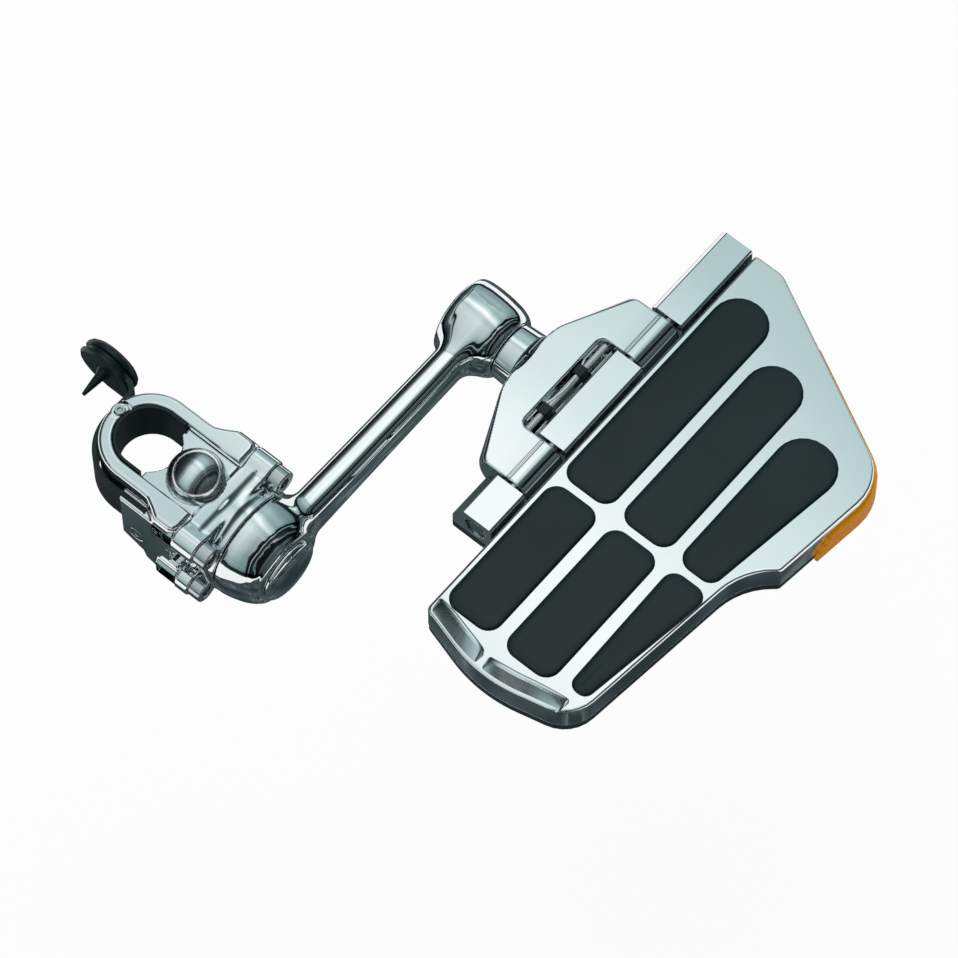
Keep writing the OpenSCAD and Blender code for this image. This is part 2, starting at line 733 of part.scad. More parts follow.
// The board's plan is drawn for one size and stretched to the board: [x, y, radius] from its heel corner
plan_w = 125.5;
plan_len = 260.4;
stretch_x = board_w / plan_w;
stretch_y = board_len / plan_len;
function on_board(c) = [board_x + c.x * stretch_x, board_y + c.y * stretch_y, c[2]];
function drawn(corners) = [for (c = corners) on_board(c)];

// Board outline: hinge side, heel end, outer side with its step, toe end
board_corners = drawn([[0, 9.5, 4], [42, -2.5, 80], [91, 9.3, 20], [103.5, 122, 38], [117.5, 133.5, 4],
    [plan_w, 203.4, 26], [17, plan_len, 12], [0, plan_len, 2]]);

// Pads: each is listed as its own rounded corners
toe_low = 105.5;
heel_high = 101.3;
col_1 = 3.4;
col_2 = 39.4;
col_3 = 75.4;
pad_w = 30;
pad_outlines = [
    drawn([[col_1, toe_low, 8], [col_1 + pad_w, toe_low, 8], [col_1 + pad_w, 239, 14.8], [col_1, 239, 14.8]]),
    drawn([[col_2, toe_low, 8], [col_2 + pad_w, toe_low, 8], [col_2 + pad_w, 220.5, 14.8], [col_2, 220.5, 14.8]]),
    drawn([[col_3, toe_low, 8], [col_3 + 22, toe_low, 7], [col_3 + 35, 199.5, 15.5], [col_3, 199.5, 15.5]]),
    drawn([[col_1, 17.6, 8], [col_1 + pad_w, 17.6, 8], [col_1 + pad_w, heel_high, 8], [col_1, heel_high, 8]]),
    drawn([[col_2 + 0.8, 16.6, 8], [col_2 + 0.8 + pad_w, 16.6, 8], [col_2 + 0.8 + pad_w, heel_high, 8],
        [col_2 + 0.8, heel_high, 8]]),
    drawn([[col_3 + 2.2, 21.5, 5.5], [col_3 + 13.4, 21.5, 5], [col_3 + 25, heel_high, 7], [col_3 + 1, heel_high, 7]])];

boss_r = 5;
plate_screw_r = 2;
module at_plate_screws()
    for (p = drawn([[10, 22], [81.5, 22], [10, 128], [94.5, 128], [12, 246.4], [105.5, 198.4]]))
        translate([p.x, p.y, 0]) children();

// Heel ribs: a crest that follows the heel edge and falls off to both sides
rib_steps = 12;
rib_back = 7;            // distance from the edge to the crest
rib_root = 1.2;          // how deep a rib is rooted in the plate
heel_x = 43;             // plan station of the lowest point of the heel edge
heel_arc = 21;           // how far its arc runs to both sides
function heel_rise(dx) = let (a = abs(dx))
    a < heel_arc ? a ^ 2 / 160 : 2.76 + (dx < 0 ? 0.286 : 0.241) * (a - heel_arc);
function edge_y(x) = board_y + stretch_y * heel_rise((x - board_x) / stretch_x - heel_x);
function rib_ring(x, lift, bow) = let (
    y = edge_y(x), back = y + rib_back + bow * lift, h = rib_rise * lift, z = board_top, root = z - rib_root)
    [[x, back + 2, root], [x, back + 1.8, z + h * 0.4], [x, back + 1, z + h * 0.85],
        [x, back + 0.3, z + h], [x, back - 0.5, z + h], [x, back - 1.4, z + h * 0.82], [x, y + 2.6, root]];

module rib(x0, x1, bow)
    skin([for (k = [0 : rib_steps])
        let (t = k / rib_steps) rib_ring(lerp(x0, x1, t), 0.2 + 0.8 * pow(sin(180 * t), 0.5), bow)]);

module top_plate() {
    edge = 1.8;
    color(chrome) {
        difference() {
            edged_plate(board_corners, [[split_z, edge], [split_z, 0], [board_top - edge, 0],
                [board_top - edge * 0.35, edge * 0.35], [board_top, edge]]);
            difference() {
                slab(inset(board_corners, shell_wall), split_z - past, board_top - cap_t);
                at_plate_screws() translate([0, 0, split_z]) cylinder(h = board_t, r = boss_r);
            }
            for (pad = pad_outlines) slab(pad, board_top - recess_t, board_top + past);
            at_plate_screws() translate([0, 0, split_z - past]) cylinder(h = 8 + past, r = plate_screw_r + bolt_gap);
        }
        rib(board_x + 3 * stretch_x, board_x + 36 * stretch_x, 2);
        rib(board_x + 41 * stretch_x, board_x + 83 * stretch_x, 0.6);
    }
}

module pad(corners) {
    crown = 0.55;
    color(rubber) stack(inset(corners, fit_gap), [[board_top - recess_t, 0], [board_top, 0],
        [board_top + (pad_rise - crown) * 0.7, 0.25], [board_top + pad_rise - crown, 1],
        [board_top + pad_rise - crown * 0.3, 3], [board_top + pad_rise, 6]]);
}

module toe_pad_inner() pad(pad_outlines[0]);
module toe_pad_middle() pad(pad_outlines[1]);
module toe_pad_outer() pad(pad_outlines[2]);
module heel_pad_inner() pad(pad_outlines[3]);
module heel_pad_middle() pad(pad_outlines[4]);
module heel_pad_outer() pad(pad_outlines[5]);

// Lower casting with the three hinge bars; a bar's section is listed round the fold pin
function bar_section(back, drop, slope_x, slope_z) = [
    [-back, -drop, 1.5], [bar_half, -drop, 1.5], [bar_half, bar_half, 1.5],
    [slope_x - back, bar_half, 1.2], [-back, bar_half - slope_z, 1.5]];

module hinge_bar(y0, len, section) {
    translate([pin_x, y0 + len, hub_z]) rotate([90, 0, 0]) linear_extrude(len) polygon(outline(section));
    translate([pin_x, y0 + 1, board_low + 0.5])
        cube([knuckle_r + board_gap + 8, len - 2, hub_z - board_low - 5.5]);
}

plain_bar = bar_section(bar_half, bar_half, 2.7, 2.7);
stop_bar = bar_section(bar_half + 5, hub_z - board_low - 0.3, 6.6, 11);
module board_base() {
    edge = 0.9;
    seam = 0.3;
    middle_y = arm_len - middle_bar_len / 2;
    color(chrome) difference() {
        union() {
            edged_plate(board_corners, [[board_low, edge + seam], [board_low + edge, seam],
                [split_z - 2 * seam, seam], [split_z - seam, 0], [split_z, 0], [split_z, edge + seam]]);
            difference() {
                union() {
                    hinge_bar(pin_low_y, lower_bar_len, stop_bar);
                    hinge_bar(middle_y, middle_bar_len, plain_bar);
                    hinge_bar(pin_high_y - upper_bar_len, upper_bar_len, plain_bar);
                }
                translate([board_x - board_gap + 0.4, 0, split_z - 0.4]) cube([40, 2 * board_len, board_t]);
            }
        }
        rod_y(pin_low_y - past, pin_high_y + past, pin_r + run_gap);
        rod_y(pin_low_y - past, pin_low_y + clip_seat_t, clip_seat_r);
        rod_y(pin_high_y - clip_seat_t, pin_high_y + past, clip_seat_r);
        at_plate_screws() translate([0, 0, board_low - past]) {
            cylinder(h = base_t + 2 * past, r = plate_screw_r + bolt_gap);
            cylinder(h = 2.6 + past, r = 4.2);
        }
    }
}

module plate_screws() {
    color(steel) at_plate_screws() difference() {
        union() {
            translate([0, 0, board_low + 0.1]) cylinder(h = 2.5, r = 4);
            translate([0, 0, board_low + 0.1]) cylinder(h = base_t + 7, r = plate_screw_r);
        }
        translate([0, 0, board_low - past]) cylinder(h = past + 1.8, d = 3.4, $fn = 6);
    }
}

// Amber lens round the outer toe corner, slanted at its end near the step
lens_low = board_low + 0.6;
lens_end = 157;          // plan station of that end
module reflector_lens() {
    slant = lens_h * 0.7;
    color(amber) difference() {
        translate([0, 0, lens_low]) linear_extrude(lens_h) intersection() {
            difference() {
                polygon(outline(inset(board_corners, -lens_proud)));
                polygon(outline(board_corners));
            }
            polygon([for (c = drawn([[55, 242], [100, lens_end], [140, lens_end], [140, 280], [65, 280]])) flat(c)]);
        }
        translate([board_right - board_w / 5, board_y + lens_end * stretch_y, lens_low + lens_h]) rotate([90, 0, 90])
            linear_extrude(board_w) polygon([[-past, past], [-past, -slant], [0, -slant], [slant, 0], [slant, past]]);
    }
}

jaw_lower();
jaw_upper();
jaw_hinge_pin();
tube_liner();
saddle_base();
clamp_screws();
plug_and_strap();
strap_screw();
lower_pivot_bolt();
lower_pivot_washer();
offset_arm();
lower_hub_cap();
upper_hub_cap();
upper_pivot_bolt();
upper_pivot_washer();
swivel_collar();
hinge_mount();
detent_spring();
spring_screws();
fold_pin();
pin_clips();
board_base();
top_plate();
toe_pad_inner();
toe_pad_middle();
toe_pad_outer();
heel_pad_inner();
heel_pad_middle();
heel_pad_outer();
reflector_lens();
plate_screws();
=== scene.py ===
# Looks of a folding motorcycle floorboard on an offset arm with a tube clamp.
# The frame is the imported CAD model: +X along the swivels, +Y along the fold hinge and
# +Z off the tread.
import json
import math

import bmesh
import bpy
import numpy as np
from mathutils import Matrix, Vector


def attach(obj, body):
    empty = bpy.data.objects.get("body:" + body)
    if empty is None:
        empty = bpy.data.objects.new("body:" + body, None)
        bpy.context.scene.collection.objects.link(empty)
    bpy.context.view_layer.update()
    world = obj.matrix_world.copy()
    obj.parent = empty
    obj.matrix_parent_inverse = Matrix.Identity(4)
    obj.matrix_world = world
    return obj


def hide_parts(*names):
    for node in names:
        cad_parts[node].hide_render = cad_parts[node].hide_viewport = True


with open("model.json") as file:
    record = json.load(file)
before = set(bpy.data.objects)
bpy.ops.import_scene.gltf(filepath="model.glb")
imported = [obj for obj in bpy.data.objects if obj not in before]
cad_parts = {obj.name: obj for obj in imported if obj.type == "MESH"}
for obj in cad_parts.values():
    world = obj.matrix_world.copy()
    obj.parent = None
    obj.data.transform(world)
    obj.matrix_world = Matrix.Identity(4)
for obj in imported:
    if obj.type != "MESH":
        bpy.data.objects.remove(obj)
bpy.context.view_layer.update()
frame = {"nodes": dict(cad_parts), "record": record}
SCENE = bpy.context.scene
MM = 0.001

# Stations of the CAD model, in millimetres
HUB_Z = -17.0
ARM_LEN = 160.0
FLANGE_X, FAR_FLANGE_X, DOME_X = 55.4, 50.0, 63.2
ARM_X, ARM_MID, ARM_END = 63.6, 73.6, 86.6
UPPER_X, UPPER_END = 61.9, 91.9
NECK_X, PIN_X, KNUCKLE_R, MOUNT_HALF = 103.2, 141.5, 10.0, 58.4
FOOT_X, BORE_R, JAW_IN, JAW_OUT, CLAMP_HALF = 42.0, 15.9, 17.4, 24.6, 14.0
SADDLE_TOP, SADDLE_X = 9.0, 9.1
SADDLE_LOW = -42.4  # 3 mm above the underside of the CAD model
BALL_X, BALL_Z, BALL_R = 30.0, SADDLE_TOP - 0.4, 14.8
SCREW_Y, SCREW_Z, LUG_R = 26.5, 21.0, 7.4
LUG_LOW = HUB_Z - SCREW_Z - LUG_R
SCREW_ROWS = ((HUB_Z + SCREW_Z, FLANGE_X), (HUB_Z - SCREW_Z, FAR_FLANGE_X))
JAW_PIN, JAW_PIN_R, EYE_R, EYE_GAP, KNUCKLE_HALF = (-20.1, 1.6), 2.5, 4.7, 1.2, 7.56
SIDE_Y = 29.9
STRAP_X, STRAP_Z = 15.5, -24.6
STRAP_SLOT = ((4, -28.3, -30.2), (21.1, -25.7, 3.2))
SPIGOT_R, SPIGOT_BORE, HEAD_POCKET, BOLT_HOLE = 9.0, 9.1, 13.0, 5.05
SPRING_X = PIN_X - 17.2
BOARD_X, BOARD_Y, BOARD_TOP, BOARD_LOW = 152.5, 15.0, -9.6, -31.2
HEEL_MIDDLE = BOARD_X + 43


class Value:
    """A socket that takes part in arithmetic; each operation adds its Math node."""

    def __init__(self, finish, socket):
        self.finish, self.socket = finish, socket

    def maths(self, operation, *others):
        feeds = dict(enumerate((self, *others)))
        return self.finish.add("ShaderNodeMath", {"operation": operation}, feeds)

    def __add__(self, other):
        return self.maths("ADD", other)

    def __sub__(self, other):
        return self.maths("SUBTRACT", other)

    def __mul__(self, other):
        return self.maths("MULTIPLY", other)


class Finish:
    """A material, or the world, whose nodes all come from one method."""

    def __init__(self, owner):
        owner.use_nodes = True
        self.owner, self.tree = owner, owner.node_tree
        self.tree.nodes.clear()

    def add(self, kind, settings=None, feeds=None, out=0):
        node = self.tree.nodes.new(kind)
        for key, setting in (settings or {}).items():
            setattr(node, key, setting)
        for key, fed in (feeds or {}).items():
            if isinstance(fed, Value):
                self.tree.links.new(fed.socket, node.inputs[key])
            else:
                node.inputs[key].default_value = fed
        return Value(self, node.outputs[out]) if len(node.outputs) else None

    def place(self):
        return self.add("ShaderNodeTexCoord", out="Object")

    def axis(self, vector, letter):
        return self.add("ShaderNodeSeparateXYZ", feeds={"Vector": vector}, out=letter)

    def noise(self, scale, detail=3.0, rough=0.5, where=None):
        feeds = {"Vector": where or self.place(), "Scale": scale, "Detail": detail,
                 "Roughness": rough}
        return self.add("ShaderNodeTexNoise", feeds=feeds)

    def blend(self, share, first, second, kind="MIX"):
        settings = {"data_type": "RGBA", "blend_type": kind}
        return self.add("ShaderNodeMix", settings, {0: share, 6: first, 7: second}, out=2)

    def ramp(self, share, stops):
        """A colour ramp through the given (place, colour) stops."""
        value = self.add("ShaderNodeValToRGB", feeds={"Fac": share})
        elements = value.socket.node.color_ramp.elements
        while len(elements) < len(stops):
            elements.new(0.5)
        for stop, (place, colour) in zip(elements, stops):
            stop.position, stop.color = place, (*colour, 1)
        return value

    def bump(self, height, strength, distance):
        feeds = {"Height": height, "Strength": strength, "Distance": distance}
        return self.add("ShaderNodeBump", feeds=feeds)

    def shown(self, shader, output="ShaderNodeOutputMaterial"):
        """Ends the nodes with a shader, and gives back the material or world."""
        self.add(output, feeds={"Surface": shader})
        return self.owner

    def surface(self, **feeds):
        feeds = {key.replace("_", " "): fed for key, fed in feeds.items()}
        return self.shown(self.add("ShaderNodeBsdfPrincipled", feeds=feeds))


def new_finish(name):
    return Finish(bpy.data.materials.new(name))


PLATING = ((0.90, 0.93, 0.93), (0.84, 0.88, 0.885))
PALE_PLATING = ((0.93, 0.945, 0.945), (0.88, 0.91, 0.915))


def plate_tint(f, tints=PLATING):
    """A faint cloud between two tints of plating."""
    pale, deep = tints
    return f.blend(f.noise(38.0), (*pale, 1), (*deep, 1))


def plate_ripple(f):
    """The slight ripple of polished metal."""
    return f.bump(f.noise(95.0, 2.0), 0.03, 0.0002)


def plated(name, low, high):
    """Bright plating with a roughness that wanders between two levels."""
    f = new_finish(name)
    return f.surface(
        Base_Color=plate_tint(f),
        Metallic=1.0,
        Roughness=f.noise(210.0, 4.0) * (high - low) + low,
        Normal=plate_ripple(f),
    )


def plated_with_ball(name, centre, radius):
    """Bright plating with a ball in it that has a softer polish."""
    f = new_finish(name)
    offset = f.add("ShaderNodeVectorMath", {"operation": "SUBTRACT"},
                   {0: f.place(), 1: [c * MM for c in centre]})
    reach = f.add("ShaderNodeVectorMath", {"operation": "LENGTH"}, {0: offset}, out="Value")
    ball = reach.maths("LESS_THAN", (radius + 0.3) * MM)
    return f.surface(
        Base_Color=plate_tint(f),
        Metallic=1.0,
        Roughness=ball * 0.13 + f.noise(210.0, 4.0) * 0.03 + 0.025,
        Normal=plate_ripple(f),
    )


def plated_beside_painted_shade(name, tints, gloss, painted_shade_tint, letter, edge):
    """Plating of a given roughness beyond a station on one axis; before it a matt non-metal whose
    dark tint is painted shade.
    """
    f = new_finish(name)
    satin, fade = 0.34, 0.3
    bright = f.add("ShaderNodeMapRange", feeds={
        "Value": f.axis(f.place(), letter),
        "From Min": (edge - fade) * MM, "From Max": (edge + fade) * MM})
    # Before the station the base colour is the dark tint, painted shade.
    return f.surface(
        Base_Color=f.blend(bright, (*painted_shade_tint, 1), plate_tint(f, tints)),
        Metallic=bright,
        Roughness=bright * (gloss - satin) + satin,
        Specular_IOR_Level=0.3,
        Normal=plate_ripple(f),
    )


def turned_steel(name, colour, rough, metal=1.0):
    """Plated hardware with fine machining scratches."""
    f = new_finish(name)
    scratch = f.noise(900.0, 2.0)
    deep = [c * 0.82 for c in colour]
    return f.surface(
        Base_Color=f.blend(f.noise(140.0), (*colour, 1), (*deep, 1)),
        Metallic=metal,
        Roughness=scratch * 0.14 + rough,
        Normal=f.bump(scratch, 0.06, 0.0001),
    )


def moulded_rubber(name, dark, pale, rough, grain=0.25):
    """Moulded rubber: a faint cloud in tint and gloss, and a fine grain."""
    f = new_finish(name)
    skin = f.noise(1500.0, 3.0, 0.6)
    cloud = f.noise(16.0, 2.0)
    return f.surface(
        Base_Color=f.blend(cloud, (*dark, 1), (*pale, 1)),
        Roughness=f.noise(60.0) * 0.12 + rough,
        Specular_IOR_Level=0.36,
        Normal=f.bump(skin, grain, 0.00012),
    )


def amber_moulding():
    """Amber plastic with fine flutes up its height, so many radians of them in a metre."""
    f = new_finish("amber_lens")
    flutes = 1850.0
    flute = (f.axis(f.place(), "Z") * flutes).maths("SINE") * 0.5 + 0.5
    return f.surface(
        # The colour runs from deep to pale amber with each flute: painted shade and highlight on
        # the flutes.
        Base_Color=f.blend(flute, (0.50, 0.13, 0.001, 1), (0.88, 0.33, 0.004, 1)),
        Roughness=f.noise(300.0) * 0.06 + 0.16,
        Specular_IOR_Level=0.25,
        # The emission is a painted glow; the lens is no lamp.
        Emission_Color=(1.0, 0.36, 0.004, 1),
        Emission_Strength=0.25,
        Normal=f.bump(flute, 0.6, 0.0008),
    )


CHROME = plated("chrome", 0.025, 0.055)
# The tread's wall facing the hinge gap, before the station on X, has painted shade.
TREAD = plated_beside_painted_shade("chrome_tread", PALE_PLATING, 0.13, (0.05, 0.07, 0.073), "X", BOARD_X + 0.35)
ROLLED = plated("chrome_ribs", 0.15, 0.22)
STEEL = turned_steel("turned_steel", (0.66, 0.69, 0.70), 0.12)
# The board casting's lower band, below the station on Z, has painted shade.
CASTING = plated_beside_painted_shade("casting_plated_over_painted_shade", PLATING, 0.04, (0.036, 0.054, 0.057), "Z",
                      BOARD_LOW + 6)
SADDLE = plated_with_ball("chrome_saddle", (BALL_X, 0.0, BALL_Z), BALL_R)
SPRING_STEEL = turned_steel("zinc_spring", (0.74, 0.78, 0.78), 0.24, 0.45)
DARK_STEEL = turned_steel("oiled_steel", (0.33, 0.36, 0.37), 0.2)
RUBBER = moulded_rubber("rubber_pad", (0.003, 0.0125, 0.0140), (0.010, 0.0265, 0.0285), 0.27)
SOFT_RUBBER = moulded_rubber("rubber_strap", (0.004, 0.0125, 0.0140), (0.010, 0.0220, 0.0240),
                             0.30, 0.15)
AMBER = amber_moulding()


def keep(name, mesh, body, finish, slot, *nodes):
    """Puts a finished mesh in the scene as a piece that rides on its body."""
    piece = bpy.data.objects.new(name, mesh)
    SCENE.collection.objects.link(piece)
    mesh.materials.clear()
    mesh.materials.append(finish)
    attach(piece, body)
    if nodes:
        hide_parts(*nodes)
    return piece


def node_mesh(node, top=None):
    """The node's own surface as a clean mesh: merged, cut above a level, flat faces joined."""
    source = frame["nodes"][node].data
    bm = bmesh.new()
    bm.from_mesh(source)
    bmesh.ops.remove_doubles(bm, verts=bm.verts, dist=1e-6)
    if top is not None:
        bmesh.ops.delete(bm, geom=[v for v in bm.verts if v.co.z > top * MM], context="VERTS")
    bmesh.ops.dissolve_limit(bm, angle_limit=math.radians(0.6), verts=bm.verts, edges=bm.edges)
    fresh = bpy.data.meshes.new(node)
    points = [tuple(v.co) for v in bm.verts]
    bm.verts.index_update()
    fresh.from_pydata(points, [], [[v.index for v in f.verts] for f in bm.faces])
    bm.free()
    fresh.validate()
    return fresh


def baked(holder):
    """The mesh of an object after its modifiers; the object itself is removed."""
    graph = bpy.context.evaluated_depsgraph_get()
    mesh = bpy.data.meshes.new_from_object(holder.evaluated_get(graph))
    bpy.data.objects.remove(holder)
    return mesh


def softened(mesh, width, steps=3, angle=32):
    """Rounds the edges of a mesh and weights its normals, so that flat faces stay flat."""
    mesh.shade_smooth()
    mesh.set_sharp_from_angle(angle=math.radians(angle))
    holder = bpy.data.objects.new("softening", mesh)
    SCENE.collection.objects.link(holder)
    edge = holder.modifiers.new("edge", "BEVEL")
    edge.width, edge.segments, edge.limit_method = width * MM, steps, "ANGLE"
    edge.angle_limit, edge.use_clamp_overlap = math.radians(angle), True
    edge.miter_outer = "MITER_ARC"
    normals = holder.modifiers.new("normals", "WEIGHTED_NORMAL")
    normals.keep_sharp = False
    return baked(holder)


def spots(points):
    """Bare points, in millimetres, that a tree of nodes sets its pieces on."""
    mesh = bpy.data.meshes.new("spots")
    mesh.from_pydata([[c * MM for c in p] for p in points], [], [])
    return mesh


class Tree:
    """A Geometry Nodes tree with named inputs, whose result is made on the given points."""

    def __init__(self, name):
        self.tree = bpy.data.node_groups.new(name, "GeometryNodeTree")
        self.tree.interface.new_socket("Geometry", in_out="OUTPUT",
                                       socket_type="NodeSocketGeometry")
        self.input("Points", "NodeSocketGeometry")
        self.start = self.tree.nodes.new("NodeGroupInput")

    def input(self, name, kind="NodeSocketFloat"):
        return self.tree.interface.new_socket(name, in_out="INPUT", socket_type=kind)

    def add(self, kind, settings=None, feeds=None, out=0):
        node = self.tree.nodes.new(kind)
        for key, setting in (settings or {}).items():
            setattr(node, key, setting)
        for key, fed in (feeds or {}).items():
            for one in fed if isinstance(fed, list) else [fed]:
                if isinstance(one, bpy.types.NodeSocket):
                    self.tree.links.new(one, node.inputs[key])
                else:
                    node.inputs[key].default_value = one
        return node.outputs[out]

    def finish(self, geometry):
        end = self.tree.nodes.new("NodeGroupOutput")
        self.tree.links.new(geometry, end.inputs[0])

    def made(self, points, settings):
        """The tree's result on a set of points, as a plain mesh."""
        holder = bpy.data.objects.new("made", spots(points))
        SCENE.collection.objects.link(holder)
        work = holder.modifiers.new("work", "NODES")
        work.node_group = self.tree
        items = self.tree.interface.items_tree
        sockets = {i.name: i.identifier for i in items if i.in_out == "INPUT"}
        for key, setting in settings.items():
            work[sockets[key]] = setting
        return baked(holder)


def fastener_tree():
    """Cap screw or button: a head with a hex socket on a shaft, one on every point."""
    t = Tree("fasteners")
    for part in ("Head radius", "Head height", "Shaft radius", "Shaft length", "Socket radius",
                 "Socket depth"):
        t.input(part)
    t.input("Turn", "NodeSocketVector")
    t.input("Finish", "NodeSocketMaterial")
    g = t.start.outputs

    def maths(operation, first, second):
        return t.add("ShaderNodeMath", {"operation": operation}, {0: first, 1: second})

    def upright(radius, height, foot, sides=64):
        solid = t.add("GeometryNodeMeshCone", feeds={
            "Vertices": sides, "Radius Top": radius, "Radius Bottom": radius, "Depth": height})
        place = t.add("ShaderNodeCombineXYZ", feeds={"Z": foot})
        return t.add("GeometryNodeTransform", feeds={"Geometry": solid, "Translation": place})

    floor = maths("SUBTRACT", g["Head height"], g["Socket depth"])
    twice = maths("MULTIPLY", g["Socket depth"], 2.0)
    below = maths("MULTIPLY", g["Shaft length"], -1.0)
    head = t.add("GeometryNodeMeshBoolean", {"operation": "DIFFERENCE"}, {
        "Mesh 1": upright(g["Head radius"], g["Head height"], 0.0),
        "Mesh 2": upright(g["Socket radius"], twice, floor, 6)})
    shaft = upright(g["Shaft radius"], g["Shaft length"], below, 40)
    solid = t.add("GeometryNodeJoinGeometry", feeds={0: [head, shaft]})
    placed = t.add("GeometryNodeInstanceOnPoints", feeds={
        "Points": g["Points"], "Instance": solid,
        "Rotation": t.add("FunctionNodeEulerToRotation", feeds={"Euler": g["Turn"]})})
    real = t.add("GeometryNodeRealizeInstances", feeds={"Geometry": placed})
    t.finish(t.add("GeometryNodeSetMaterial", feeds={"Geometry": real, "Material": g["Finish"]}))
    return t


BODY_OF = {n: b for b, ns in frame["record"]["behaviour"]["bodies"].items() for n in ns}
SLOT_OF = {s["node"]: s["material_slot"] for s in frame["record"]["subparts"]}


def dress(node, finish, width, steps=3, angle=32, top=None):
    """A finely edged copy of a CAD node that stands for it."""
    mesh = softened(node_mesh(node, top), width, steps, angle)
    return keep(node + "_finished", mesh, BODY_OF[node], finish, SLOT_OF[node], node)


# Castings, made as smooth implicit forms in millimetres
def smooth_low(a, b, k):
    """The lower of two distances, with a fillet of about k."""
    h = np.clip(0.5 + 0.5 * (b - a) / k, 0, 1)
    return b + (a - b) * h - k * h * (1 - h)


def smooth_high(a, b, k):
    """The higher of two distances, with a round of about k."""
    return -smooth_low(-a, -b, k)


def above_ground(d, z):
    """Cuts a form off just inside the lowest level of the CAD model."""
    return smooth_high(d, LUG_LOW + 0.1 - z, 0.4)


def profile(points):
    """A smooth radius along X through the given [x, radius] points, and its slope."""
    xs, rs = np.array(points, float).T
    fine = np.linspace(xs[0], xs[-1], 200)
    slope = np.gradient(rs, xs)
    i = np.clip(np.searchsorted(xs, fine) - 1, 0, len(xs) - 2)
    span = xs[i + 1] - xs[i]
    t = (fine - xs[i]) / span
    value = ((2 * t**3 - 3 * t**2 + 1) * rs[i] + (t**3 - 2 * t**2 + t) * span * slope[i]
             + (3 * t**2 - 2 * t**3) * rs[i + 1] + (t**3 - t**2) * span * slope[i + 1])
    lean = np.gradient(value, fine)
    return lambda x: np.interp(x, fine, value), lambda x: np.interp(x, fine, lean)


def turned(p, y, form, edge=1.2):
    """Distance to a body turned about the swivel axis at y."""
    radius, lean = profile(form)
    x0, x1 = form[0][0], form[-1][0]
    rho = np.hypot(p[1] - y, p[2] - HUB_Z)
    side = (rho - radius(p[0])) / np.hypot(1, lean(np.clip(p[0], x0, x1)))
    return smooth_high(side, np.maximum(x0 - p[0], p[0] - x1), edge)


def rod(p, x0, x1, r, y=0.0, z=HUB_Z):
    """Distance to a round bar along X."""
    return np.maximum(np.hypot(p[1] - y, p[2] - z) - r, np.maximum(x0 - p[0], p[0] - x1))


def drilled(d, p, x0, x1, r, y=0.0, z=HUB_Z):
    """Takes a round hole along X out of a form."""
    return np.maximum(d, -rod(p, x0, x1, r, y, z))


def meet(a, b, r):
    """What two forms share, its edge rounded to the radius r."""
    corner = np.hypot(np.maximum(a + r, 0), np.maximum(b + r, 0))
    return corner + np.minimum(np.maximum(a, b) + r, 0) - r


def polygon(u, v, corners):
    """Distance to a closed polygon in one plane, negative inside."""
    far, inside = np.full(np.shape(u), 1e9), np.zeros(np.shape(u), bool)
    for (au, av), (bu, bv) in zip(corners, corners[1:] + corners[:1]):
        eu, ev, wu, wv = bu - au, bv - av, u - au, v - av
        t = np.clip((wu * eu + wv * ev) / (eu * eu + ev * ev), 0, 1)
        far = np.minimum(far, (wu - eu * t) ** 2 + (wv - ev * t) ** 2)
        inside ^= ((av <= v) != (bv <= v)) & ((eu * wv > ev * wu) == (ev > 0))
    return np.where(inside, -1, 1) * np.sqrt(far)


def lugs(p, x0, x1, z):
    """A row of two screw lugs with the web between them."""
    edge_r, z = 1.0, p[2] - z
    side = np.hypot(np.abs(p[1]) - SCREW_Y, z) - LUG_R
    web = np.maximum(np.abs(z) - LUG_R + 2, np.abs(p[1]) - SCREW_Y)
    return meet(smooth_low(side, web, 2.5), np.maximum(x0 - p[0], p[0] - x1), edge_r)


def brick(p, low, high, r):
    """Distance to a block between two corners, its edges rounded to the radius r."""
    q = [np.abs(p[k] - (low[k] + high[k]) / 2) - (high[k] - low[k]) / 2 + r for k in range(3)]
    out = np.sqrt(sum(np.maximum(c, 0) ** 2 for c in q))
    return out + np.minimum(np.maximum(np.maximum(q[0], q[1]), q[2]), 0) - r


